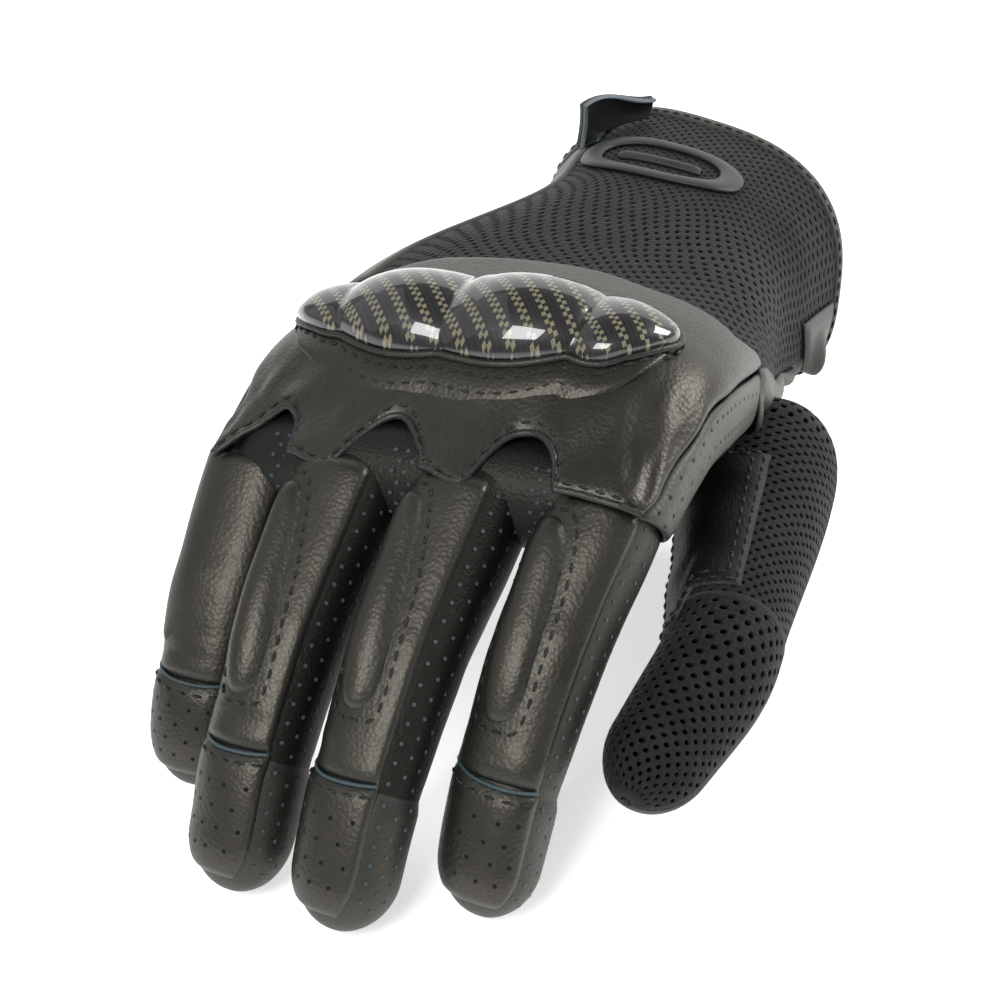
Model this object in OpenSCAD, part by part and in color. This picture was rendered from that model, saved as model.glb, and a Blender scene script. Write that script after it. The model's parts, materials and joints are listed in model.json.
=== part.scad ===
// Right-hand short-cuff riding glove, palm down, resting on its fingertips and cuff.
// Fingers point to -Y, thumb to +X, cuff to +Y, back of the hand up.

/* [Material] */
// Thickness of the leather and mesh walls
wall = 1.6; // [1.2:0.1:2]
// Running gap between pieces on different sides of a joint
gap = 0.5; // [0.4:0.1:0.8]

/* [Hand] */
// Angle by which the back of the hand rises from the cuff to the knuckles
hand_tilt = 12.75; // [12:0.25:14]
// Half width across the knuckles
knuckle_half = 47.5; // [47:0.5:50]
// Half width at the wrist
wrist_half = 37; // [36:0.5:40]
// Height of the knuckle guard's domes over the leather
guard_dome = 5; // [4:0.5:6]

/* [Fingers] */
// Length of the index finger from its root joint
index_len = 75; // [70:1:80]
// Length of the middle finger from its root joint
middle_len = 82; // [78:1:84]
// Length of the ring finger from its root joint
ring_len = 79; // [75:1:82]
// Length of the little finger from its root joint
little_len = 62; // [58:1:66]
// Width of a finger at its root
finger_w = 23; // [21:0.5:23]
// Depth of a finger at its root, from back to palm
finger_depth = 22; // [20:0.5:23]
// Bend at rest of each of the two outer finger joints
finger_bend = 12; // [8:1:16]

/* [Thumb] */
// Length of the thumb from its root joint to its tip joint
thumb_base_len = 68; // [64:1:70]
// Length of the thumb beyond its tip joint
thumb_tip_len = 33; // [30:1:36]
// Radius of the thumb at its root
thumb_r = 15.5; // [15:0.5:16.5]

/* [Movement] */
// Furthest curl of a finger at its root
root_curl = 45; // [30:5:50]
// Furthest curl of a finger at its middle joint
mid_curl = 50; // [40:5:50]
// Furthest straightening of any finger joint
straighten = 18; // [10:1:20]
// Bend of the cuff either way at the wrist
wrist_bend = 15; // [10:1:20]
// Swing of the thumb away from the hand
thumb_swing = 25; // [15:1:30]

/* [Hidden] */

LEATHER = [0.12, 0.12, 0.11];
MESH = [0.16, 0.155, 0.17];
CARBON = [0.05, 0.05, 0.05];
SUEDE = [0.27, 0.27, 0.24];
FOAM = [0.4, 0.4, 0.4];
RUBBER = [0.2, 0.2, 0.19];
far = 80;

// Where the whole glove stands once it is tilted: its lowest, middle point is the origin.
rest_shift = [-10.85, -28.5, 78.25];

// Cross-sections of the hand from the finger roots to the cuff's rim: centre, half width, half depth.
SECTIONS = [
    [[0, -17, -29.5], [knuckle_half - 0.5, -1, 2.5], [0, -8, 8.5]],
    [[1, 2, -20], [knuckle_half, 0, 4], [0, -6, 18]],
    [[1, 18, -19], [knuckle_half, 0, 4], [0, -2, 21]],
    [[2, 45, -19], [knuckle_half - 4, 1, 0], [0, 0, 23]],
    [[6.5, 85, -20], [wrist_half - 4, -3, -2], [0, 0, 26.5]],
    [[5, 112, -20], [wrist_half - 2, -8, -2], [0, 0, 28]],
    [[3.5, 138, -20], [wrist_half + 0.5, -12, -3], [0, 3, 29]],
];
last_section = len(SECTIONS) - 1;
section_power = 2.7;
wrist = [0, 85, -20];
wrist_r = 27;
// Width of the room kept clear for each finger at its root.
root_room_w = 32;
// How far the guard surround's opening reaches above and below the skin.
cut_above = 8;
cut_below = 4;

// A smooth value through a list, at position t counted in list steps.
function along(list, t) =
    let(
        i = min(floor(t), len(list) - 2),
        f = t - i,
        a = list[max(i - 1, 0)],
        b = list[i],
        c = list[i + 1],
        d = list[min(i + 2, len(list) - 1)]
    )
    b + f * ((c - a) / 2 + f * (a - 2.5 * b + 2 * c - d / 2 + f * (1.5 * (b - c) + (d - a) / 2)));

function signed_pow(x, p) = sign(x) * pow(abs(x), p);
function shrunk(v, inset) = v * (norm(v) - inset) / norm(v);

// A point on the hand's skin: t along the hand, angle round it (0 thumb side, 90 back), inset inwards.
function skin(t, angle, inset) =
    let(s = along(SECTIONS, t))
    s[0] + shrunk(s[1], inset) * signed_pow(cos(angle), 2 / section_power)
        + shrunk(s[2], inset) * signed_pow(sin(angle), 2 / section_power);

// Height of the four guard domes, over the guard's length v from the front and its width u.
function dome(v, u) =
    guard_dome * pow(max(sin(u * 180), 0), 0.45) * pow(max(sin(v * 180), 0), 0.5)
        * (0.65 + 0.35 * abs(sin(u * 720)));

// A closed slab between two insets of the skin, over a range of t and a range of angle. The bows move
// its two ends along the hand towards the sides.
module slab(t0, t1, a0, a1, outer, inner, nt = 6, na = 10, bow0 = 0, bow1 = 0, domes = false) {
    cols = na + 1;
    count = (nt + 1) * cols;
    function a_at(j) = a0 + (a1 - a0) * j / na;
    function bend(j) = pow((a_at(j) - 91) / 47, 2);
    function t_at(i, j) = t0 + bow0 * bend(j) + (t1 - t0 + (bow1 - bow0) * bend(j)) * i / nt;
    function lift(i, j) = domes ? dome(i / nt, j / na) : 0;
    points = concat(
        [for (i = [0:nt], j = [0:na]) skin(t_at(i, j), a_at(j), outer - lift(i, j))],
        [for (i = [0:nt], j = [0:na]) skin(t_at(i, j), a_at(j), inner - 0.72 * lift(i, j))]
    );
    function quad(a, b, c, d) = [[a, b, c], [a, c, d]];
    faces = [
        for (i = [0:nt - 1], j = [0:na - 1], layer = [0, 1])
            let(p = i * cols + j + layer * count)
            each (layer == 0 ? quad(p, p + 1, p + 1 + cols, p + cols)
                : quad(p, p + cols, p + 1 + cols, p + 1)),
        for (j = [0:na - 1], end = [0, 1])
            let(p = end * nt * cols + j)
            each (end == 0 ? quad(p + 1, p, p + count, p + 1 + count)
                : quad(p, p + 1, p + 1 + count, p + count)),
        for (i = [0:nt - 1], end = [0, 1])
            let(p = i * cols + end * na)
            each (end == 0 ? quad(p, p + cols, p + cols + count, p + count)
                : quad(p + cols, p, p + count, p + cols + count)),
    ];
    polyhedron(points, faces, convexity = 4);
}

// Puts a piece made in the hand's own level frame where the glove rests.
module placed() {
    translate(rest_shift) rotate([-hand_tilt, 0, 0]) children();
}

// Fingers: root joint, sideways turn, pitch below level, length, size against the index finger's.
FINGERS = [
    [[34.4, -17, -28], -9, 47, index_len, 0.97],
    [[9.8, -20, -28], -6, 43, middle_len, 1],
    [[-14.5, -20, -29], -4, 44, ring_len, 0.98],
    [[-36.8, -14, -33], -2, 51, little_len, 0.92],
];
segment_share = [0.37, 0.33, 0.3];
segment_w = [finger_w, finger_w * 0.92, finger_w * 0.85, finger_w * 0.8];
segment_depth = [finger_depth, finger_depth * 0.89, finger_depth * 0.77];

function heading(turn, pitch) = [sin(turn) * cos(pitch), -cos(turn) * cos(pitch), -sin(pitch)];
function joint_at(f, k) =
    k == 0 ? f[0]
        : joint_at(f, k - 1) + heading(f[1], f[2] + finger_bend * (k - 1)) * f[3] * segment_share[k - 1];

// The frame of finger segment k: the origin at its joint, -Y along the finger, +Z to its back.
module at_segment(finger, k) {
    f = FINGERS[finger];
    placed() translate(joint_at(f, k)) rotate([0, 0, f[1]])
        rotate([f[2] + finger_bend * k, 0, 0]) children();
}

// Side view to solid: the drawing's x becomes Y, its y becomes Z, and it is as wide as told along X.
module side_view(width) {
    rotate([90, 0, 90]) translate([0, 0, -width / 2]) linear_extrude(width) children();
}

// All the room that a segment of the given half depth sweeps as it curls and straightens.
module swing_room(radius, half, curl, back, width) {
    side_view(width) union() {
        circle((radius + gap) / cos(15), $fn = 12);
        for (a = [curl, 0, -back]) rotate(a) translate([-far, -half - gap]) square([far, 2 * (half + gap)]);
    }
}

module segment_plan(w0, w1, len, root) {
    polygon([[-w0 / 2, root], [w0 / 2, root], [w1 / 2, -len], [-w1 / 2, -len]]);
}

// A plate on the back (side 1) or the palm (side -1) of finger segment k, cut clear of the next segment.
module segment_plate(finger, k, side) {
    f = FINGERS[finger];
    size = f[4];
    len = f[3] * segment_share[k];
    half = segment_depth[k] * size / 2;
    difference() {
        translate([0, 0, side * (half - wall / 2)])
            linear_extrude(wall, center = true)
                segment_plan(segment_w[k] * size, segment_w[k + 1] * size, len, 0);
        translate([0, -len, 0]) rotate([finger_bend, 0, 0])
            swing_room(half, segment_depth[k + 1] * size / 2, mid_curl, straighten + finger_bend, 2 * far);
    }
}

// The two side walls of finger segment k, with their round ends about its joint.
module segment_sides(finger, k) {
    f = FINGERS[finger];
    size = f[4];
    len = f[3] * segment_share[k];
    half = segment_depth[k] * size / 2;
    w0 = segment_w[k] * size;
    w1 = segment_w[k + 1] * size;
    difference() {
        intersection() {
            linear_extrude(2 * half, center = true) difference() {
                segment_plan(w0, w1, len, half);
                segment_plan(w0 - 2 * wall, w1 - 2 * wall, len, half);
            }
            side_view(2 * far) union() {
                intersection() {
                    circle(half, $fn = 48);
                    translate([0, -half]) square([half, 2 * half]);
                }
                translate([-len, wall - half]) square([len, 2 * (half - wall)]);
            }
        }
        translate([0, -len, 0]) rotate([finger_bend, 0, 0])
            swing_room(half, segment_depth[k + 1] * size / 2, mid_curl, straighten + finger_bend, 2 * far);
    }
}

// Raised padded rib on the back of a finger's first segment.
module finger_rib(finger) {
    f = FINGERS[finger];
    half = segment_depth[0] * f[4] / 2;
    rib_w = 7;
    rib_start = 6;
    rib_h = 1.6;
    rib_len = f[3] * segment_share[0] - rib_start - rib_w;
    translate([0, -rib_start, half]) linear_extrude(rib_h) union() {
        translate([-rib_w / 2, -rib_len]) square([rib_w, rib_len]);
        circle(d = rib_w, $fn = 32);
        translate([0, -rib_len]) circle(d = rib_w, $fn = 32);
    }
}

// The solid outline of a fingertip, smaller all round by inset.
module tip_outline(finger, inset) {
    f = FINGERS[finger];
    size = f[4];
    len = f[3] * segment_share[2] - inset;
    half = segment_depth[2] * size / 2 - inset;
    w0 = segment_w[2] * size - 2 * inset;
    w1 = segment_w[3] * size - 2 * inset;
    intersection() {
        linear_extrude(2 * half, center = true) union() {
            segment_plan(w0, w1, len - w1 / 2, half);
            translate([0, w1 / 2 - len]) circle(d = w1, $fn = 48);
        }
        side_view(2 * far) union() {
            translate([half - len, -half]) square([len - half, 2 * half]);
            translate([half - len, 0]) circle(half, $fn = 48);
            circle(half, $fn = 48);
        }
    }
}

// A fingertip's shell, above (side 1) or below (side -1) its side seam.
module tip_shell(finger, side) {
    f = FINGERS[finger];
    half = segment_depth[2] * f[4] / 2;
    seam = 3;
    difference() {
        tip_outline(finger, 0);
        tip_outline(finger, wall);
        translate([0, half, 0]) cube([2 * half, 2 * half, 2 * (half - wall)], center = true);
        translate([-far, -far, side > 0 ? seam - far : seam]) cube([2 * far, 2 * far, far]);
        translate([-far, 0, side * (half - wall) - (side > 0 ? 0 : far)]) cube([2 * far, far, far]);
    }
}

// Thumb frame: root joint on the thumb side of the hand.
thumb_root = [45.8, 52, -42];
thumb_turn = 10;
thumb_pitch = 10;
thumb_tip_bend = 27;
thumb_tip_turn = -22;
thumb_mid_r = 10.6;
thumb_end_r = 8;
thumb_tip_curl = 40;
thumb_tip_back = 10;
thumb_swing_in = 3;

module at_thumb() {
    placed() translate(thumb_root) rotate([0, 0, thumb_turn]) rotate([thumb_pitch, 0, 0]) children();
}
module at_thumb_tip() {
    at_thumb() translate([0, -thumb_base_len, 0]) rotate([0, 0, thumb_tip_turn])
        rotate([thumb_tip_bend, 0, 0]) children();
}

// A round tube along -Y that narrows from r0 to r1.
module cone_tube(r0, r1, len) {
    rotate([90, 0, 0]) difference() {
        cylinder(h = len, r1 = r0, r2 = r1, $fn = 64);
        translate([0, 0, -1]) cylinder(h = len + 2, r1 = r0 - wall, r2 = r1 - wall, $fn = 64);
    }
}

// The room that the thumb sweeps at its root, seen from above.
module thumb_room() {
    height = 2 * (thumb_r + gap);
    at_thumb() linear_extrude(height, center = true) union() {
        circle((thumb_r + gap) / cos(15), $fn = 12);
        for (a = [-thumb_swing_in, thumb_swing])
            rotate(a) translate([-thumb_r - gap, -far]) square([2 * (thumb_r + gap), far]);
    }
}

// The thumb's first part, above (side 1) or below (side -1) its side seams.
module thumb_wall(side) {
    at_thumb() difference() {
        cone_tube(thumb_r, thumb_mid_r, thumb_base_len);
        translate([-far, -2 * far, side > 0 ? -far - 1 : -1]) cube([2 * far, 3 * far, far + 0.001]);
        translate([0, -thumb_base_len, 0]) rotate([0, 0, thumb_tip_turn]) rotate([thumb_tip_bend, 0, 0])
            swing_room(thumb_mid_r, thumb_mid_r, thumb_tip_curl, thumb_tip_back + thumb_tip_bend, 2 * far);
    }
}

// The thumb's tip, above (side 1) or below (side -1) its side seam.
module thumb_end(side) {
    r = thumb_mid_r - 0.5;
    straight = thumb_tip_len - thumb_end_r;
    module outline(inset) {
        rotate([90, 0, 0]) {
            cylinder(h = straight, r1 = r - inset, r2 = thumb_end_r - inset, $fn = 64);
            translate([0, 0, -r]) cylinder(h = r, r = r - inset, $fn = 64);
        }
        translate([0, -straight, 0]) sphere(thumb_end_r - inset, $fn = 64);
    }
    at_thumb_tip() difference() {
        intersection() {
            outline(0);
            side_view(2 * far) union() {
                circle(r, $fn = 48);
                translate([-far, -far]) square([far, 2 * far]);
            }
        }
        outline(wall);
        translate([-far, -far, side > 0 ? -far : 0]) cube([2 * far, 2 * far, far]);
    }
}

// All the room that the four fingers sweep at their roots.
module finger_rooms() {
    for (i = [0:3]) {
        half = segment_depth[0] * FINGERS[i][4] / 2;
        at_segment(i, 0) swing_room(half, half, root_curl, straighten, root_room_w);
    }
}

// The room that the cuff sweeps at the wrist.
module wrist_room() {
    placed() translate(wrist) rotate([0, 0, 180])
        swing_room(wrist_r, wrist_r, wrist_bend, wrist_bend, 3 * far);
}

// Trims a cuff wall at the wrist to a round end about the wrist joint.
module cuff_limits() {
    intersection() {
        children();
        placed() translate(wrist) side_view(3 * far) union() {
            circle(wrist_r, $fn = 12);
            translate([0, -far]) square([2 * far, 2 * far]);
        }
    }
}

module hand_wall(t0, t1, a0, a1, nt, na) {
    difference() {
        placed() slab(t0 = t0, t1 = t1, a0 = a0, a1 = a1, outer = 0, inner = wall, nt = nt, na = na);
        finger_rooms();
        wrist_room();
        thumb_room();
    }
}

module back_panel() {
    color(LEATHER) hand_wall(t0 = 0, t1 = 2.75, a0 = 14, a1 = 166, nt = 8, na = 16);
}
module ulnar_side_panel() {
    color(SUEDE) hand_wall(t0 = 0, t1 = 3.9, a0 = 166.4, a1 = 207.6, nt = 10, na = 4);
}
module radial_side_strip() {
    color(LEATHER) hand_wall(t0 = 0, t1 = 2.75, a0 = -18, a1 = 14, nt = 8, na = 4);
}
module palm_panel() {
    color(LEATHER) hand_wall(t0 = 0, t1 = 3.9, a0 = 208, a1 = 341.6, nt = 10, na = 14);
}
module back_mesh_panel() {
    color(MESH) hand_wall(t0 = 2.75, t1 = 3.9, a0 = 14, a1 = 166, nt = 3, na = 14);
}
module wrist_gusset() {
    color(LEATHER) hand_wall(t0 = 2.75, t1 = 3.9, a0 = -18, a1 = 14, nt = 3, na = 4);
}
module guard_foam() {
    color(FOAM) placed() slab(t0 = 0.88, t1 = 1.86, a0 = 48, a1 = 134,
        outer = -2.3, inner = -0.4, nt = 6, na = 16, bow0 = 0.35, bow1 = -0.2);
}
module knuckle_guard() {
    color(CARBON) placed() slab(t0 = 0.82, t1 = 1.92, a0 = 44, a1 = 138,
        outer = -4, inner = -2.5, nt = 10, na = 32, bow0 = 0.4, bow1 = -0.2, domes = true);
}
module guard_surround() {
    color(LEATHER) placed() difference() {
        slab(t0 = 0.5, t1 = 2.15, a0 = 34, a1 = 148,
            outer = -1.8, inner = -0.4, nt = 8, na = 16, bow0 = 0.4, bow1 = -0.1);
        slab(t0 = 0.78, t1 = 1.96, a0 = 42, a1 = 140,
            outer = -cut_above, inner = cut_below, nt = 8, na = 16, bow0 = 0.4, bow1 = -0.2);
    }
}
module palm_heel_pad() {
    color(LEATHER) placed() slab(t0 = 2.7, t1 = 3.35, a0 = 225, a1 = 275,
        outer = -3, inner = -0.5, nt = 4, na = 6);
}
module palm_grip_patch() {
    color(SUEDE) difference() {
        placed() slab(t0 = 0.7, t1 = 1.7, a0 = 225, a1 = 315, outer = -1.7, inner = -0.5, nt = 4, na = 8);
        finger_rooms();
        thumb_room();
    }
}
module hand_lining() {
    color(SUEDE) difference() {
        placed() union() {
            slab(t0 = 1.1, t1 = 3, a0 = 20, a1 = 160,
                outer = wall + 0.5, inner = wall + 1.1, nt = 5, na = 10);
            slab(t0 = 1.1, t1 = 3, a0 = 215, a1 = 300,
                outer = wall + 0.5, inner = wall + 1.1, nt = 5, na = 8);
        }
        finger_rooms();
        thumb_room();
        wrist_room();
    }
}

module cuff_back() {
    color(MESH) cuff_limits() placed() slab(t0 = 3.3, t1 = 5.84, a0 = 0, a1 = 180,
        outer = 0, inner = wall, nt = 7, na = 16);
}
module cuff_underside() {
    color(LEATHER) cuff_limits() placed() slab(t0 = 3.3, t1 = 5.84, a0 = 180, a1 = 360,
        outer = 0, inner = wall, nt = 7, na = 16);
}
module cuff_binding() {
    color(SUEDE) placed() union() {
        slab(t0 = 5.84, t1 = last_section, a0 = 0, a1 = 180,
            outer = -0.7, inner = wall + 0.7, nt = 1, na = 16);
        slab(t0 = 5.84, t1 = last_section, a0 = 180, a1 = 360,
            outer = -0.7, inner = wall + 0.7, nt = 1, na = 16);
    }
}

// A generic rounded lozenge badge moulded on the cuff's back.
module cuff_badge() {
    color(RUBBER) placed() slab(t0 = 4.42, t1 = 5.02, a0 = 76, a1 = 116,
        outer = -1.6, inner = -0.4, nt = 4, na = 8);
}
module side_tab() {
    color(LEATHER) placed() slab(t0 = 4.35, t1 = 4.75, a0 = -8, a1 = 14,
        outer = -4, inner = -0.5, nt = 1, na = 2);
}

// Closing strap on the little-finger side of the cuff, sewn at its lower edge.
strap_t0 = 5.1;
strap_t1 = 5.7;
module wrist_strap() {
    color(LEATHER) placed() slab(t0 = strap_t0, t1 = strap_t1, a0 = 120, a1 = 222,
        outer = -2.6, inner = -1, nt = 3, na = 12);
}
module strap_pull_tab() {
    color(LEATHER) placed() slab(t0 = strap_t0, t1 = strap_t1, a0 = 114, a1 = 119.9,
        outer = -9, inner = -1, nt = 3, na = 2);
}

module first_segment(finger, part) {
    at_segment(finger, 0) {
        if (part == "back") color(LEATHER) segment_plate(finger, 0, 1);
        if (part == "palm") color(LEATHER) segment_plate(finger, 0, -1);
        if (part == "sides") color(LEATHER) segment_sides(finger, 0);
        if (part == "rib") color(LEATHER) finger_rib(finger);
    }
}
module middle_segment(finger, part) {
    at_segment(finger, 1) {
        if (part == "back") color(LEATHER) segment_plate(finger, 1, 1);
        if (part == "palm") color(LEATHER) segment_plate(finger, 1, -1);
        if (part == "sides") color(LEATHER) segment_sides(finger, 1);
    }
}
module fingertip(finger, part) {
    at_segment(finger, 2) color(LEATHER) tip_shell(finger, part == "cap" ? 1 : -1);
}

module thumb_back() {
    color(MESH) thumb_wall(1);
}
module thumb_palm() {
    color(LEATHER) thumb_wall(-1);
}
module thumb_patch() {
    lift = 1.2;
    from = 22;
    to = 48;
    color(SUEDE) at_thumb() difference() {
        cone_tube(thumb_r + lift, thumb_mid_r + lift, thumb_base_len);
        rotate([90, 0, 0]) cylinder(h = thumb_base_len, r1 = thumb_r, r2 = thumb_mid_r, $fn = 64);
        translate([-far, -from, -far]) cube([2 * far, far, 2 * far]);
        translate([-far, -to - far, -far]) cube([2 * far, far, 2 * far]);
        translate([-far, -far, -far]) cube([2 * far, 2 * far, far + 2]);
    }
}

back_panel();
ulnar_side_panel();
radial_side_strip();
palm_panel();
back_mesh_panel();
wrist_gusset();
knuckle_guard();
guard_surround();
guard_foam();
palm_heel_pad();
palm_grip_patch();
hand_lining();
cuff_back();
cuff_underside();
cuff_binding();
cuff_badge();
side_tab();
wrist_strap();
strap_pull_tab();
thumb_back();
thumb_palm();
thumb_patch();
color(MESH) thumb_end(1);  // thumb_tip_cap
color(LEATHER) thumb_end(-1);  // thumb_tip_wrap
for (i = [0:3]) {
    name = ["index", "middle", "ring", "little"][i];
    for (part = i < 3 ? ["back", "palm", "sides", "rib"] : ["back", "palm", "sides"])
        first_segment(i, part);
    for (part = ["back", "palm", "sides"])
        middle_segment(i, part);
    for (part = ["cap", "wrap"])
        fingertip(i, part);
}
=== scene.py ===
"""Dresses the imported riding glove: leather, knitted mesh, carbon guard, stitching and perforations."""

import bisect
import json
import logging
import math
from dataclasses import dataclass, field
from enum import Enum
from typing import Callable, Optional, Sequence

import bmesh
import bpy
from mathutils import Matrix, Vector, noise


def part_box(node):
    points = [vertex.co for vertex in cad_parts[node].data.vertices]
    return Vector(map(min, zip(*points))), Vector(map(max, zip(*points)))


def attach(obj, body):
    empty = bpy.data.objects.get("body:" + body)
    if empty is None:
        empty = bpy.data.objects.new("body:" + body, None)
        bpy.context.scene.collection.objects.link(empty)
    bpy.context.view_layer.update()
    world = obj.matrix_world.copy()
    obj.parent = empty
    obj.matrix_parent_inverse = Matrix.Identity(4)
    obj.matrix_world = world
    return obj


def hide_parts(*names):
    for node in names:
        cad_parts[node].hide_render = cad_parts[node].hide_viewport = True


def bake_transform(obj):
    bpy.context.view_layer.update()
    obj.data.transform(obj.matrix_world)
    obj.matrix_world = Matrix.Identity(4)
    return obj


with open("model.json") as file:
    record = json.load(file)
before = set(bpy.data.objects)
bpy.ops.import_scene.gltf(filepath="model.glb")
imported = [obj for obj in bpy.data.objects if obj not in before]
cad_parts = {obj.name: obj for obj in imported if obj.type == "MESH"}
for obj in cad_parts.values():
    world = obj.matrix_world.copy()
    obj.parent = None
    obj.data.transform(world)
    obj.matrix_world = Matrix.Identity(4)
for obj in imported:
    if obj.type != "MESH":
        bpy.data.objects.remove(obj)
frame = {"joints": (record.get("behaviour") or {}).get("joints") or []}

LOG = logging.getLogger("riding_glove")
MM = 0.001
Surface = Callable[[float, float, float], Vector]
Relief = Callable[[float, float], float]
Path = Callable[[float], tuple[Vector, Vector]]
Colour = tuple[float, float, float]
Place = tuple[float, float, float]
Stops = tuple[tuple[float, float], ...]
Socket = bpy.types.NodeSocket
Finish = bpy.types.Material
Piece = bpy.types.Object
Form = bmesh.types.BMesh

# Sides of a panel that are rolled down, when none are.
UNROLLED = (False, False, False, False)
# Share of a closed limb's tube that makes its round root.
ROOT_SHARE = 0.2


class Slot(Enum):
    """The record's material slots."""

    LEATHER = "leather"
    PERFORATED = "perforated_leather"
    SUEDE = "suede"
    MESH = "mesh_fabric"
    CARBON = "carbon"
    FOAM = "foam"
    LINING = "lining"
    RUBBER = "moulded_rubber"


def signed_power(value: float, power: float) -> float:
    """A power that keeps the value's sign."""
    return math.copysign(abs(value) ** power, value)


def smooth_step(value: float) -> float:
    """Rises smoothly from 0 to 1 as the value does."""
    share = min(max(value, 0.0), 1.0)
    return share * share * (3 - 2 * share)


def mix(start: float, end: float, share: float) -> float:
    """The value that lies the given share of the way from start to end."""
    return start + (end - start) * share


def through(stops: Sequence[tuple[float, float]], value: float) -> float:
    """Reads a smooth line through (place, height) stops.

    Args:
        stops: The stops, in rising order of place.
        value: The place to read.

    Returns:
        The height there, level beyond the ends.
    """
    if value <= stops[0][0]:
        return stops[0][1]
    for (a, low), (b, high) in zip(stops, stops[1:]):
        if value <= b:
            return mix(low, high, smooth_step((value - a) / (b - a)))
    return stops[-1][1]


# ---------------------------------------------------------------- finishes


class NodeBoard:
    """Lays out one material's nodes."""

    def __init__(self, name: str) -> None:
        """Starts a material with its principled shader.

        Args:
            name: The material's name.
        """
        self.material = bpy.data.materials.new(name)
        self.material.use_nodes = True
        self.tree = self.material.node_tree
        self.shader = self.tree.nodes["Principled BSDF"]
        self.place = self.add("ShaderNodeTexCoord").outputs["Object"]

    def add(self, kind: str, sockets: Optional[dict] = None, **settings: object) -> bpy.types.Node:
        """Adds a node.

        Args:
            kind: The node's type.
            sockets: Values or links for its inputs, by name or number.
            settings: The node's own settings.

        Returns:
            The node.
        """
        node = self.tree.nodes.new(kind)
        for key, value in settings.items():
            setattr(node, key, value)
        for key, value in (sockets or {}).items():
            if isinstance(value, Socket):
                self.tree.links.new(value, node.inputs[key])
            else:
                node.inputs[key].default_value = value
        return node

    def math(self, operation: str, first: object, second: object = 0.5) -> Socket:
        """The result of one sum on two values."""
        return self.add("ShaderNodeMath", {0: first, 1: second}, operation=operation).outputs[0]

    def clouds(self, size_mm: float, detail: float = 3.0, stretch: Place = (1, 1, 1)) -> Socket:
        """Soft noise whose features are about the given size, pulled along the axes by stretch.

        Args:
            size_mm: Size of a feature, in millimetres.
            detail: How much fine detail it has.
            stretch: Scale along each axis.

        Returns:
            The noise.
        """
        mapped = self.add("ShaderNodeMapping", {"Vector": self.place, "Scale": stretch})
        sockets = {"Vector": mapped.outputs[0], "Scale": 1 / (size_mm * MM), "Detail": detail}
        return self.add("ShaderNodeTexNoise", sockets).outputs["Fac"]

    def cells(self, size_mm: float, feature: str = "F1") -> Socket:
        """Distance to the middle of the nearest of many cells of the given size."""
        sockets = {"Vector": self.place, "Scale": 1 / (size_mm * MM)}
        return self.add("ShaderNodeTexVoronoi", sockets, feature=feature).outputs["Distance"]

    def ramp(self, value: object, low: float, high: float) -> Socket:
        """Stretches a 0 to 1 value to run from low to high."""
        sockets = {"Value": value, "To Min": low, "To Max": high}
        return self.add("ShaderNodeMapRange", sockets).outputs[0]

    def blend(self, share: object, first: object, second: object) -> Socket:
        """Mixes two colours.

        Args:
            share: How much of the second colour.
            first: The colour at 0.
            second: The colour at 1.

        Returns:
            The mixed colour.
        """
        node = self.add("ShaderNodeMix", data_type="RGBA")
        for key, value in (("Factor", share), ("A", first), ("B", second)):
            socket = next(s for s in node.inputs if s.name == key and (key == "Factor" or s.type == "RGBA"))
            if isinstance(value, Socket):
                self.tree.links.new(value, socket)
            elif key == "Factor":
                socket.default_value = value
            else:
                socket.default_value = (*value, 1.0)
        return next(s for s in node.outputs if s.type == "RGBA")

    def edge(self) -> Socket:
        """How near the point is to its panel's edge, from 0 inside to 1 at the edge."""
        return self.add("ShaderNodeAttribute", attribute_name="edge").outputs["Fac"]

    def bump(self, height: object, depth_mm: float, strength: float, under: object = None) -> Socket:
        """A bumped normal, laid over another if one is given.

        Args:
            height: The height that is bumped.
            depth_mm: Depth, in millimetres.
            strength: Strength, 0 to 1.
            under: A normal beneath it.

        Returns:
            The normal.
        """
        sockets = {"Height": height, "Distance": depth_mm * MM, "Strength": strength}
        if under is not None:
            sockets["Normal"] = under
        return self.add("ShaderNodeBump", sockets).outputs[0]

    def shine(self, **values: object) -> None:
        """Sets plain values on the shader, by socket name with underscores for spaces."""
        for key, value in values.items():
            self.shader.inputs[key.replace("_", " ")].default_value = value

    def close(self, colour: object, roughness: object, normal: object) -> Finish:
        """Joins the colour, roughness and normal to the shader and gives the material.

        Args:
            colour: The colour.
            roughness: The roughness.
            normal: The bumped normal.

        Returns:
            The material.
        """
        self.tree.links.new(colour, self.shader.inputs["Base Color"])
        if isinstance(roughness, Socket):
            self.tree.links.new(roughness, self.shader.inputs["Roughness"])
        else:
            self.shader.inputs["Roughness"].default_value = roughness
        self.tree.links.new(normal, self.shader.inputs["Normal"])
        return self.material


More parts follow.
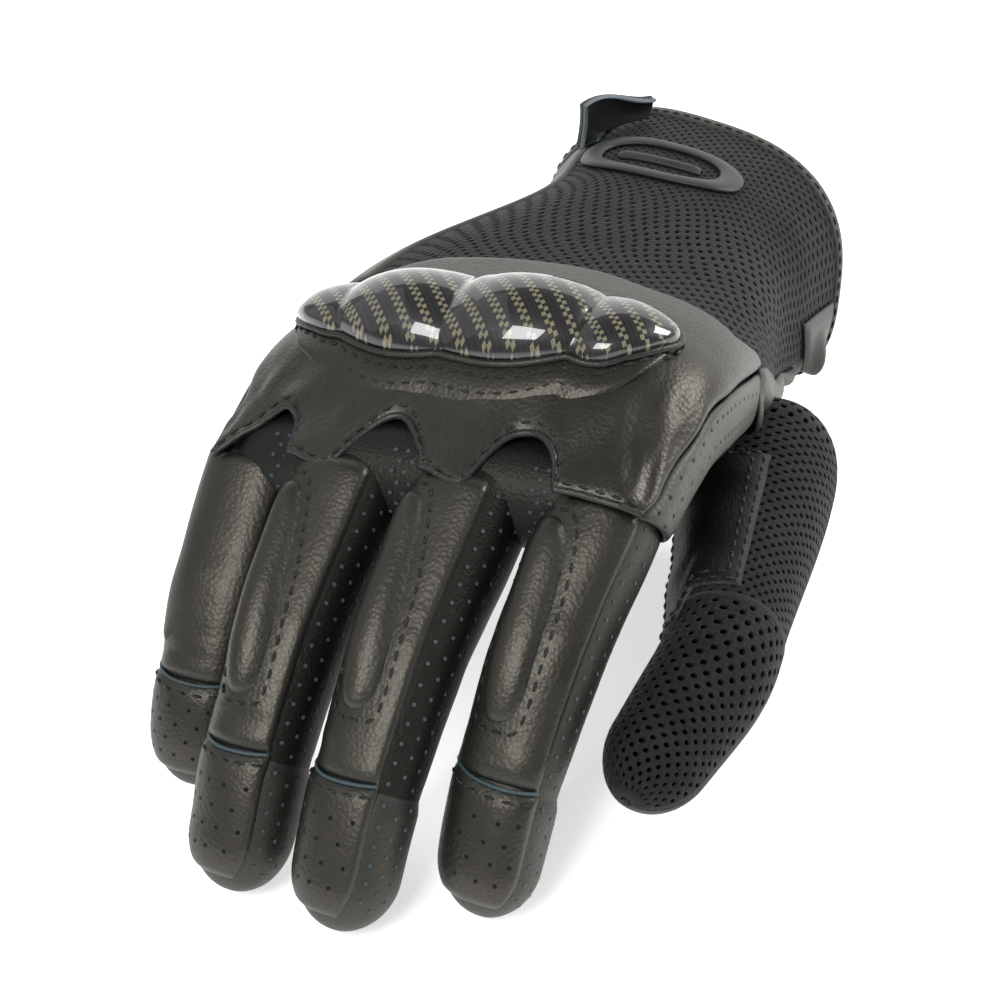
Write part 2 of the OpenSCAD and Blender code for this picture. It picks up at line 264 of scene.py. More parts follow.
@dataclass(frozen=True)
class LeatherFinish:
    """Pebbled leather with soft creases, grain grooves darkened as painted shade, and turned edges."""

    name: str
    dark: Colour = (0.006, 0.006, 0.005)
    light: Colour = (0.0145, 0.014, 0.0115)
    edge_tone: Colour = (0.010, 0.021, 0.024)
    grain_mm: float = 0.85
    grain_depth_mm: float = 0.075
    crease_mm: float = 0.4
    smooth: float = 0.34
    rough: float = 0.44
    gloss: float = 0.62
    patch_mm: float = 16.0
    fold_mm: float = 9.0
    fine_mm: float = 0.5
    edge_wear: float = 0.8
    tint: tuple[float, float, float, float] = (1.0, 0.93, 0.8, 1.0)

    def material(self) -> Finish:
        """Builds the material.

        Returns:
            The material.
        """
        board = NodeBoard(self.name)
        patches = board.clouds(self.patch_mm, 4.0)
        grain = board.cells(self.grain_mm)
        fine = board.clouds(self.fine_mm, 2.0)
        creases = board.clouds(self.fold_mm, 4.0, (1.0, 1.5, 1.0))
        tone = board.blend(board.ramp(patches, -0.6, 1.6), self.dark, self.light)
        # Painted shade: the grain's grooves, where its bump is low, are darkened.
        grain_groove_shade = board.blend(board.math("MULTIPLY", grain, 0.55), tone, self.dark)
        worn = board.blend(board.math("MULTIPLY", board.edge(), self.edge_wear), grain_groove_shade, self.edge_tone)
        pits = board.math("MULTIPLY", grain, 0.08)
        rough = board.math("ADD", board.ramp(patches, self.smooth, self.rough), pits)
        normal = board.bump(creases, self.crease_mm, 0.15)
        normal = board.bump(board.math("SUBTRACT", 1.0, grain), self.grain_depth_mm, 0.9, normal)
        normal = board.bump(fine, 0.03, 0.4, normal)
        board.shine(Specular_IOR_Level=self.gloss)
        board.shine(Specular_Tint=self.tint)
        return board.close(worn, rough, normal)


@dataclass(frozen=True)
class FabricFinish:
    """Knitted or napped cloth: fine crossing yarns with a soft sheen."""

    name: str
    dark: Colour
    light: Colour
    yarn_mm: float = 0.7
    depth_mm: float = 0.12
    roughness: float = 0.8
    sheen: float = 0.25
    gloss: float = 0.16
    patch_mm: float = 9.0
    fuzz_mm: float = 0.35
    wave_length: float = 6.2

    def material(self) -> Finish:
        """Builds the material.

        Returns:
            The material.
        """
        board = NodeBoard(self.name)
        scale = 1 / (self.yarn_mm * MM) / self.wave_length
        wave = {"Vector": board.place, "Scale": scale, "Distortion": 1.5, "Detail": 2.0}
        along = board.add("ShaderNodeTexWave", wave, bands_direction="X").outputs["Fac"]
        across = board.add("ShaderNodeTexWave", wave, bands_direction="Y").outputs["Fac"]
        yarns = board.math("MULTIPLY", board.math("ADD", along, across), 0.5)
        fuzz = board.clouds(self.fuzz_mm, 3.0)
        tone = board.blend(board.ramp(board.clouds(self.patch_mm), -0.3, 1.3), self.dark, self.light)
        # Painted shade: the cloth is darkened in the gaps between its yarns, where their bump is low.
        shaded = board.blend(board.ramp(yarns, 0.5, 0.0), tone, self.dark)
        normal = board.bump(yarns, self.depth_mm, 0.7)
        normal = board.bump(fuzz, 0.06, 0.6, normal)
        board.shine(Sheen_Weight=self.sheen, Sheen_Roughness=0.45, Specular_IOR_Level=self.gloss)
        return board.close(shaded, board.ramp(fuzz, self.roughness - 0.08, self.roughness + 0.08), normal)


@dataclass(frozen=True)
class SuedeFinish:
    """Brushed suede: short nap, brushed streaks and paler rubbed spots."""

    name: str
    dark: Colour
    light: Colour
    nap_mm: float = 0.45
    depth_mm: float = 0.12
    roughness: float = 0.88
    sheen: float = 0.3
    spot_mm: float = 13.0
    streak_mm: float = 1.6

    def material(self) -> Finish:
        """Builds the material.

        Returns:
            The material.
        """
        board = NodeBoard(self.name)
        spots = board.clouds(self.spot_mm, 4.0)
        streaks = board.clouds(self.streak_mm, 3.0, (0.4, 1.6, 1.0))
        nap = board.clouds(self.nap_mm, 3.0)
        tone = board.blend(board.ramp(spots, -0.5, 1.5), self.dark, self.light)
        brushed = board.blend(board.math("MULTIPLY", streaks, 0.5), tone, self.dark)
        # Painted shade: darker where the panel rolls down at its edges.
        shaded = board.blend(board.math("MULTIPLY", board.edge(), 0.6), brushed, self.dark)
        normal = board.bump(nap, self.depth_mm, 0.7, board.bump(streaks, 0.15, 0.4))
        board.shine(Sheen_Weight=self.sheen, Sheen_Roughness=0.4, Specular_IOR_Level=0.25)
        return board.close(shaded, board.ramp(nap, self.roughness - 0.06, self.roughness + 0.06), normal)


@dataclass(frozen=True)
class CarbonFinish:
    """Carbon twill under a clear coat: slanting rows of pale, staggered ticks on black."""

    name: str
    black: Colour = (0.004, 0.004, 0.0045)
    grey: Colour = (0.02, 0.02, 0.02)
    pale: Colour = (0.26, 0.235, 0.15)
    row_mm: float = 3.7
    tick_mm: float = 1.4
    row_share: float = 0.42
    slant_deg: float = 46.0
    coat_roughness: float = 0.03
    coat_index: float = 1.6

    def material(self) -> Finish:
        """Builds the material.

        Returns:
            The material.
        """
        board = NodeBoard(self.name)
        slant = math.radians(self.slant_deg)
        across = (math.sin(slant), math.cos(slant), 0.0)
        along = (math.cos(slant), -math.sin(slant), 0.0)
        row = board.math("DIVIDE", self.measured(board, across), self.row_mm * MM)
        step = board.math("DIVIDE", self.measured(board, along), self.tick_mm * MM)
        inside = board.math("FRACT", row)
        column = board.math("FLOOR", board.math("DIVIDE", inside, self.row_share / 2))
        stagger = board.math("ADD", step, board.math("MULTIPLY", column, 0.5))
        tick = board.math("LESS_THAN", board.math("FRACT", stagger), 0.5)
        lit = board.math("MULTIPLY", tick, board.math("LESS_THAN", inside, self.row_share))
        weave = board.math("PINGPONG", board.math("MULTIPLY", row, 4.0), 0.5)
        # Painted shade: black in the small grooves across each row, greyer on their ridges.
        under = board.blend(weave, self.black, self.grey)
        fibres = board.clouds(0.3, 2.0, (4.0, 0.4, 1.0))
        colour = board.blend(board.math("MULTIPLY", lit, board.ramp(fibres, 0.3, 1.0)), under, self.pale)
        normal = board.bump(board.math("ADD", lit, weave), 0.05, 0.2)
        board.shine(Coat_Weight=1.0, Coat_Roughness=self.coat_roughness, Coat_IOR=self.coat_index)
        board.shine(Specular_IOR_Level=0.3)
        return board.close(colour, 0.4, normal)

    @staticmethod
    def measured(board: NodeBoard, way: Place) -> Socket:
        """How far the point lies along a direction."""
        dot = board.add("ShaderNodeVectorMath", {0: board.place, 1: way}, operation="DOT_PRODUCT")
        return dot.outputs["Value"]


@dataclass(frozen=True)
class RubberFinish:
    """Matt moulded rubber with a very fine grain and dusty, rubbed spots."""

    name: str
    dark: Colour
    light: Colour
    roughness: float = 0.55
    dust_mm: float = 6.0
    grain_mm: float = 0.4

    def material(self) -> Finish:
        """Builds the material.

        Returns:
            The material.
        """
        board = NodeBoard(self.name)
        dust = board.clouds(self.dust_mm, 4.0)
        grain = board.clouds(self.grain_mm, 2.0)
        tone = board.blend(board.ramp(dust, -0.4, 1.4), self.dark, self.light)
        rubbed = board.blend(board.math("MULTIPLY", board.edge(), 0.4), tone, self.light)
        normal = board.bump(grain, 0.06, 0.6)
        return board.close(rubbed, board.ramp(dust, self.roughness - 0.1, self.roughness + 0.1), normal)


@dataclass(frozen=True)
class ThreadFinish:
    """Waxed, twisted sewing thread."""

    name: str
    dark: Colour = (0.0025, 0.0025, 0.0025)
    light: Colour = (0.011, 0.011, 0.0105)
    twist_scale: float = 420.0

    def material(self) -> Finish:
        """Builds the material.

        Returns:
            The material.
        """
        board = NodeBoard(self.name)
        wave = {"Vector": board.place, "Scale": self.twist_scale, "Distortion": 0.6}
        twist = board.add("ShaderNodeTexWave", wave, bands_direction="DIAGONAL").outputs["Fac"]
        # Painted shade: darker between the twist's strands, lighter on their raised tops.
        colour = board.blend(twist, self.dark, self.light)
        normal = board.bump(twist, 0.08, 0.8)
        board.shine(Sheen_Weight=0.04, Specular_IOR_Level=0.35)
        return board.close(colour, board.ramp(twist, 0.45, 0.65), normal)


class Wardrobe:
    """Every finish of the glove, each made once."""

    def __init__(self) -> None:
        """Makes the materials."""
        self.leather = LeatherFinish("leather_pebbled").material()
        # Near-black leather for the palm, finger sides, webs and thumb patch: partly the real dark leather,
        # and darker than the back's leather between the fingers as painted shade.
        self.side_leather = LeatherFinish(
            "leather_side", (0.0022, 0.0022, 0.0022), (0.006, 0.006, 0.0056),
            grain_mm=0.7, grain_depth_mm=0.1, smooth=0.42, rough=0.55, gloss=0.3,
        ).material()
        self.outer_wall = LeatherFinish(
            "leather_outer_wall", (0.006, 0.0068, 0.006), (0.013, 0.0145, 0.0125),
            grain_mm=0.7, grain_depth_mm=0.06, smooth=0.42, rough=0.55,
        ).material()
        self.seam_edge = RubberFinish(
            "seam_edge_teal", (0.02, 0.038, 0.045), (0.045, 0.075, 0.085), 0.6
        ).material()
        self.cap_leather = LeatherFinish(
            "leather_cap", (0.005, 0.005, 0.0045), (0.014, 0.013, 0.011)
        ).material()
        self.trim_leather = LeatherFinish(
            "leather_trim", (0.003, 0.0042, 0.0048), (0.009, 0.013, 0.0145),
            grain_mm=0.6, grain_depth_mm=0.08, smooth=0.4,
        ).material()
        self.strip_leather = LeatherFinish(
            "leather_grey_strip", (0.02, 0.021, 0.018), (0.075, 0.076, 0.064), smooth=0.42, rough=0.55
        ).material()
        self.suede = SuedeFinish("suede_olive", (0.026, 0.027, 0.0215), (0.06, 0.061, 0.048)).material()
        self.knit = FabricFinish(
            "mesh_knit", (0.006, 0.0053, 0.006), (0.019, 0.0165, 0.019), 0.75, 0.15, 0.72, 0.03
        ).material()
        self.lining = FabricFinish(
            "lining_knit", (0.001, 0.001, 0.0011), (0.003, 0.0028, 0.0034), 0.6, 0.1, 0.95, 0.0
        ).material()
        self.carbon = CarbonFinish("carbon_twill").material()
        self.binding = RubberFinish(
            "binding_grey", (0.026, 0.028, 0.0225), (0.055, 0.058, 0.046), 0.6
        ).material()
        self.badge = RubberFinish("badge_rubber", (0.013, 0.013, 0.012), (0.03, 0.03, 0.027), 0.5).material()
        self.pale_edge = RubberFinish("tab_edge", (0.07, 0.09, 0.105), (0.13, 0.16, 0.175), 0.6).material()
        self.foam = RubberFinish("guard_foam_grey", (0.03, 0.03, 0.03), (0.06, 0.06, 0.06), 0.8).material()
        self.thread = ThreadFinish("thread_black").material()
        # Painted shade: each perforation is a near-black disc that stands in for the shaded inside of the
        # hole.
        self.hole = FabricFinish("hole_painted_shade", (0.0015, 0.0015, 0.0016), (0.004, 0.004, 0.004), 0.4).material()
        self.hole_blue = FabricFinish(
            "hole_blue_grey", (0.03, 0.05, 0.06), (0.07, 0.105, 0.12), 0.4
        ).material()


# ---------------------------------------------------------------- making pieces


def new_piece(name: str, form: Form, finish: Finish, slot: Optional[Slot] = None) -> Piece:
    """Makes a shown object from finished mesh work.

    Args:
        name: The piece's name.
        form: The mesh work, which is freed.
        finish: The piece's material.
        slot: Not used.

    Returns:
        The object, at the origin.
    """
    mesh = bpy.data.meshes.new(name)
    form.to_mesh(mesh)
    form.free()
    mesh.shade_smooth()
    mesh.materials.append(finish)
    piece = bpy.data.objects.new(name, mesh)
    bpy.context.scene.collection.objects.link(piece)
    return piece


def outward(form: Form, surface: Surface) -> None:
    """Turns a mapped sheet's faces the way the surface rises.

    Args:
        form: The mesh work.
        surface: The surface that it lies on.
    """
    form.normal_update()
    rise = surface(0.5, 0.5, 1.0) - surface(0.5, 0.5, 0.0)
    middle = surface(0.5, 0.5, 0.0)
    nearest = min(form.faces, key=lambda f: (f.calc_center_median() - middle).length_squared)
    if nearest.normal.dot(rise) < 0:
        bmesh.ops.reverse_faces(form, faces=form.faces[:])


@dataclass
class Panel:
    """A sewn panel: a grid laid on a surface, its edges rolled down, given a wall.

    The surface reads u and v from 0 to 1 and a rise in millimetres. The sides that can be rolled are u low,
    u high, v low and v high, in this order.
    """

    name: str
    surface: Surface
    cells: tuple[int, int]
    size: tuple[float, float]
    wall: float = 1.0
    lift: float = 0.0
    roll: float = 0.8
    roll_width: float = 1.1
    rolled: tuple[bool, bool, bool, bool] = (True, True, True, True)
    relief: Optional[Relief] = None
    closed: bool = False
    smooth: int = 1
    edge_fade: float = 0.7

    def edge_distance(self, u: float, v: float) -> float:
        """Millimetres from the nearest rolled side."""
        gaps = (u * self.size[0], (1 - u) * self.size[0], v * self.size[1], (1 - v) * self.size[1])
        return min((gap for gap, on in zip(gaps, self.rolled) if on), default=math.inf)

    def rise(self, u: float, v: float) -> float:
        """Millimetres that the panel's outer face stands off the surface."""
        fall = self.roll * math.exp(-((self.edge_distance(u, v) / self.roll_width) ** 2))
        return self.lift - fall + (self.relief(u, v) if self.relief else 0.0)

    def at(self, u: float, v: float, extra: float = 0.0) -> Vector:
        """The point on the panel's outer face, with a little more rise if told."""
        return self.surface(u, v, self.rise(u, v) + extra)

    def spot(self, u: float, v: float) -> tuple[Vector, Vector]:
        """The outer face's point and the way that it faces."""
        here = self.at(u, v)
        return here, (self.at(u, v, 1.0) - here).normalized()

    def form(self) -> Form:
        """Lays the grid on the surface.

        Returns:
            The mesh work.
        """
        form = bmesh.new()
        uv = form.loops.layers.uv.new("UVMap")
        across, along = self.cells
        bmesh.ops.create_grid(form, x_segments=across, y_segments=along, size=1.0, calc_uvs=True)
        edge = form.verts.layers.float.new("edge")
        for face in form.faces:
            for loop in face.loops:
                u, v = (loop.vert.co.x + 1) / 2, (loop.vert.co.y + 1) / 2
                loop[uv].uv = (u * self.size[0] * MM, v * self.size[1] * MM)
        for vert in form.verts:
            u, v = (vert.co.x + 1) / 2, (vert.co.y + 1) / 2
            vert[edge] = math.exp(-self.edge_distance(u, v) / self.edge_fade)
            vert.co = self.at(u, v)
        if self.closed:
            bmesh.ops.remove_doubles(form, verts=form.verts[:], dist=0.02 * MM)
            bmesh.ops.recalc_face_normals(form, faces=form.faces[:])
        else:
            outward(form, self.surface)
        return form

    def build(self, finish: Finish, slot: Slot) -> Piece:
        """Makes the panel's object, with its wall and smoothing as modifiers.

        Args:
            finish: The material.
            slot: Not used.

        Returns:
            The piece.
        """
        piece = new_piece(self.name, self.form(), finish, slot)
        if self.wall:
            wall = piece.modifiers.new("wall", "SOLIDIFY")
            wall.thickness = self.wall * MM
            wall.offset = -1.0
        if self.smooth:
            soft = piece.modifiers.new("smooth", "SUBSURF")
            soft.levels = self.smooth
            soft.render_levels = self.smooth
        return piece


@dataclass
class KnitPanel(Panel):
    """A panel of open knitted mesh: staggered oval holes cut through it."""

    hole: float = 0.62
    corner_pull: float = 0.86
    side_push: float = 1.14
    corner_share: float = 0.9

    def form(self) -> Form:
        """Cuts a staggered set of oval holes in the grid and lays it on the surface.

        Returns:
            The mesh work.
        """
        form = bmesh.new()
        across, along = self.cells
        bmesh.ops.create_grid(form, x_segments=across, y_segments=along, size=1.0)
        chosen = []
        for face in form.faces:
            middle = face.calc_center_median()
            column = int((middle.x + 1) / 2 * across)
            row = int((middle.y + 1) / 2 * along)
            if (column + row) % 2 == 0 and 0 < column < across - 1 and 0 < row < along - 1:
                chosen.append(face)
        inset = min(2 / across, 2 / along) * (1 - self.hole) / 2
        bmesh.ops.inset_individual(form, faces=chosen, thickness=inset, use_even_offset=True)
        edges = list(dict.fromkeys(edge for face in chosen for edge in face.edges))
        bmesh.ops.subdivide_edges(form, edges=edges, cuts=1)
        for face in chosen:
            middle = face.calc_center_median()
            reach = max((vert.co - middle).length for vert in face.verts)
            for vert in face.verts:
                away = vert.co - middle
                corner = away.length > self.corner_share * reach
                vert.co = middle + away * (self.corner_pull if corner else self.side_push)
        bmesh.ops.delete(form, geom=chosen, context="FACES_ONLY")
        edge = form.verts.layers.float.new("edge")
        for vert in form.verts:
            u, v = (vert.co.x + 1) / 2, (vert.co.y + 1) / 2
            vert[edge] = 0.0
            vert.co = self.at(u, v)
        outward(form, self.surface)
        return form


@dataclass
class Stitching:
    """Rows of separate thread stitches along paths."""

    name: str
    stitch: float = 2.3
    gap: float = 0.8
    thickness: float = 0.4
    sink: float = 0.05
    form: Form = field(default_factory=bmesh.new)

    def sew(self, path: Path, samples: int = 160) -> None:
        """Sews one row.

        Args:
            path: Gives the point and the way the leather faces, for a share of the row from 0 to 1.
            samples: How finely the row is measured.
        """
        spots = [path(i / samples) for i in range(samples + 1)]
        lengths = [0.0]
        for (a, _), (b, _) in zip(spots, spots[1:]):
            lengths.append(lengths[-1] + (b - a).length / MM)
        number = max(int(lengths[-1] / (self.stitch + self.gap)), 1)
        pitch = lengths[-1] / number
        index = 0
        for k in range(number):
            want = (k + 0.5) * pitch
            while lengths[index + 1] < want:
                index += 1
            share = (want - lengths[index]) / max(lengths[index + 1] - lengths[index], 1e-6)
            here = spots[index][0].lerp(spots[index + 1][0], share)
            ahead = (spots[index + 1][0] - spots[index][0]).normalized()
            self.add(here, ahead, spots[index][1], pitch * self.stitch / (self.stitch + self.gap))

    def add(self, here: Vector, ahead: Vector, up: Vector, length: float) -> None:
        """Adds one stitch, a stretched bead lying along the row.

        Args:
            here: The place.
            ahead: The way of the row.
            up: The way the leather faces.
            length: The stitch's length, in millimetres.
        """
        side = up.cross(ahead).normalized()
        top = ahead.cross(side).normalized()
        turn = Matrix((ahead, side, top)).transposed().to_4x4()
        half = (length / 2 * MM, self.thickness * MM, self.thickness * MM)
        place = Matrix.Translation(here - top * self.sink * MM) @ turn @ Matrix.Diagonal((*half, 1.0))
        bmesh.ops.create_icosphere(self.form, subdivisions=1, radius=1.0, matrix=place)

    def build(self, finish: Finish, slot: Slot) -> Piece:
        """Makes the stitches' object."""
        return new_piece(self.name, self.form, finish, slot)


@dataclass
class Punching:
    """Small round perforations, each a dark eye in the leather."""

    name: str
    radius: float = 0.5
    sides: int = 8
    proud: float = 0.04
    form: Form = field(default_factory=bmesh.new)

    def punch(self, here: Vector, up: Vector) -> None:
        """Adds one eye at a point of the leather that faces up.

        Args:
            here: The place.
            up: The way the leather faces.
        """
        turn = up.to_track_quat("Z", "Y").to_matrix().to_4x4()
        place = Matrix.Translation(here + up * self.proud * MM) @ turn
        bmesh.ops.create_circle(
            self.form, cap_ends=True, segments=self.sides, radius=self.radius * MM, matrix=place
        )

    def build(self, finish: Finish, slot: Slot) -> Piece:
        """Makes the perforations' object."""
        return new_piece(self.name, self.form, finish, slot)


@dataclass
class Piping:
    """A round or flat cord sewn along a path."""

    name: str
    path: Path
    width: float = 0.7
    height: float = 0.7
    steps: int = 120
    sides: int = 8
    loop: bool = False

    def build(self, finish: Finish, slot: Slot) -> Piece:
        """Sweeps the cord's section along the path and closes its ends.

        Args:
            finish: The material.
            slot: Not used.

        Returns:
            The piece.
        """
        form = bmesh.new()
        bmesh.ops.create_grid(form, x_segments=self.sides, y_segments=self.steps, size=1.0)
        edge = form.verts.layers.float.new("edge")
        spots: dict[int, tuple[Vector, Vector, Vector]] = {}
        for row in range(self.steps + 1):
            share = row / self.steps
            here, up = self.path(share)
            near = (share - 0.5 / self.steps, share + 0.5 / self.steps)
            if self.loop:
                before, after = (self.path(place % 1.0)[0] for place in near)
            else:
                before, after = (self.path(min(max(place, 0.0), 1.0))[0] for place in near)
            side = (after - before).cross(up).normalized()
            spots[row] = (here, up, side)
        for vert in form.verts:
            turn = (vert.co.x + 1) * math.pi
            row = round((vert.co.y + 1) / 2 * self.steps)
            here, up, side = spots[row]
            taper = 1.0
            if not self.loop:
                taper = min(1.0, math.sqrt(min(row, self.steps - row) * 0.5 + 0.02))
            vert[edge] = 0.2
            section = side * math.cos(turn) * self.width + up * math.sin(turn) * self.height
            vert.co = here + section * taper * MM
        bmesh.ops.remove_doubles(form, verts=form.verts[:], dist=0.01 * MM)
        if not self.loop:
            bmesh.ops.holes_fill(form, edges=form.edges[:], sides=0)
        bmesh.ops.recalc_face_normals(form, faces=form.faces[:])
        return new_piece(self.name, form, finish, slot)


# ---------------------------------------------------------------- the hand


class Skeleton:
    """The places of the joints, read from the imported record."""

    def __init__(self) -> None:
        """Sorts the joints by name."""
        self.joints = {joint["name"]: joint for joint in frame["joints"]}

    def place(self, name: str) -> Vector:
        """Where a joint is."""
        return Vector(self.joints[name]["pos_m"])

    def axis(self, name: str) -> Vector:
        """The way a joint's axis points."""
        return Vector(self.joints[name]["axis"]).normalized()


@dataclass
class HandSkin:
    """The smooth skin of the hand and cuff, lofted through superellipse sections.

    t counts sections from the finger roots (0) to the cuff's rim (6); the angle is 0 on the thumb side and
    90 on the back. Each section holds its centre, half width and half depth, in the level hand's frame.
    """

    bones: Skeleton
    power: float = 2.7
    index_root: Place = (34.4, -17, -28)
    wrist: Place = (0, 85, -20)
    sections: tuple = (
        ((0, -17, -29.5), (47, -1, 2.5), (0, -8, 8.5)),
        ((1, 2, -20), (47.5, 0, 4), (0, -6, 18)),
        ((1, 18, -19), (47.5, 0, 4), (0, -2, 21)),
        ((2, 45, -19), (43.5, 1, 0), (0, 0, 23)),
        ((6.5, 85, -20), (33, -3, -2), (0, 0, 26.5)),
        ((5, 112, -20), (35, -8, -2), (0, 0, 28)),
        ((3.5, 138, -20), (37.5, -12, -3), (0, 3, 29)),
    )
    thumb_line: Stops = ((2.9, 4), (3.4, -2), (4.0, -14), (4.7, -19), (5.9, -21))

    def __post_init__(self) -> None:
        """Finds the hand's tilt and place from two joints."""
        a, b = Vector(self.index_root), Vector(self.wrist)
        c, d = self.bones.place("index_root_joint") / MM, self.bones.place("wrist_joint") / MM
        level = math.atan2(b.z - a.z, b.y - a.y)
        tilted = math.atan2(d.z - c.z, d.y - c.y)
        turn = Matrix.Rotation(tilted - level, 4, "X")
        self.stand = Matrix.Translation(d - turn @ b) @ turn
        self.table = [[Vector(part) for part in section] for section in self.sections]
        ring = [self.level(1.5, angle - 90) for angle in range(541)]
        self.arc = [0.0]
        for a, b in zip(ring, ring[1:]):
            self.arc.append(self.arc[-1] + (b - a).length)

    def section(self, t: float) -> list[Vector]:
        """The centre, half width and half depth at t.

        Args:
            t: Section number.

        Returns:
            The three vectors.
        """
        i = int(min(max(math.floor(t), 0), len(self.table) - 2))
        f = t - i
        near = [self.table[min(max(k, 0), len(self.table) - 1)] for k in (i - 1, i, i + 1, i + 2)]
        found = []
        for a, b, c, d in zip(*near):
            curve = (a - 2.5 * b + 2 * c - d / 2) + f * (1.5 * (b - c) + (d - a) / 2)
            found.append(b + f * ((c - a) / 2 + f * curve))
        return found

    def level(self, t: float, angle: float, lift: float = 0.0) -> Vector:
        """A point of the skin in the level hand's frame, in millimetres, raised by lift.

        Args:
            t: Section number.
            angle: Angle round, in degrees.
            lift: Millimetres off the skin.

        Returns:
            The point.
        """
        centre, wide, deep = self.section(t)
        a = math.radians(angle)
        across = wide * ((wide.length + lift) / wide.length) * signed_power(math.cos(a), 2 / self.power)
        up = deep * ((deep.length + lift) / deep.length) * signed_power(math.sin(a), 2 / self.power)
        return centre + across + up

    def even(self, a0: float, a1: float, share: float) -> float:
        """The angle a share of the way round from a0 to a1, by distance over the skin.

        Args:
            a0: First angle.
            a1: Last angle.
            share: The share, 0 to 1.

        Returns:
            The angle.
        """

        def measured(angle: float) -> float:
            """Distance over the skin from its start to an angle."""
            place = min(max(angle + 90, 0.0), 539.999)
            return mix(self.arc[int(place)], self.arc[int(place) + 1], place - int(place))

        want = mix(measured(a0), measured(a1), share)
        low = bisect.bisect_right(self.arc, want) - 1
        low = min(max(low, 0), len(self.arc) - 2)
        return low + (want - self.arc[low]) / (self.arc[low + 1] - self.arc[low]) - 90

    def stood(self, point: Vector) -> Vector:
        """A level-hand point where the glove rests, in metres."""
        return (self.stand @ point) * MM

    def point(self, t: float, angle: float, lift: float = 0.0) -> Vector:
        """A point of the skin where the glove rests, in metres."""
        return self.stood(self.level(t, angle, lift))

    def thumb_edge(self, t: float) -> float:
        """Angle of the mesh's lower edge on the thumb side."""
        return through(self.thumb_line, t)

    def patch(self, t0: float, t1: float, a0: float, a1: float) -> Surface:
        """The surface over a plain range of t (as v) and angle (as u)."""
        return lambda u, v, lift: self.point(mix(t0, t1, v), self.even(a0, a1, u), lift)


@dataclass
class WristBend:
    """Where fabric that crosses the wrist would start and end its bend; the pieces are not bent."""

    skin: HandSkin
    start_t: float = 3.45
    end_t: float = 4.5

    def join(self, piece: Piece) -> None:
        """Bakes the piece's transform into its mesh; it does not bend the piece from the hand to the cuff.

        Args:
            piece: The piece.
        """
        start = self.skin.stood(self.skin.section(self.start_t)[0])
        end = self.skin.stood(self.skin.section(self.end_t)[0])
        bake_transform(piece)


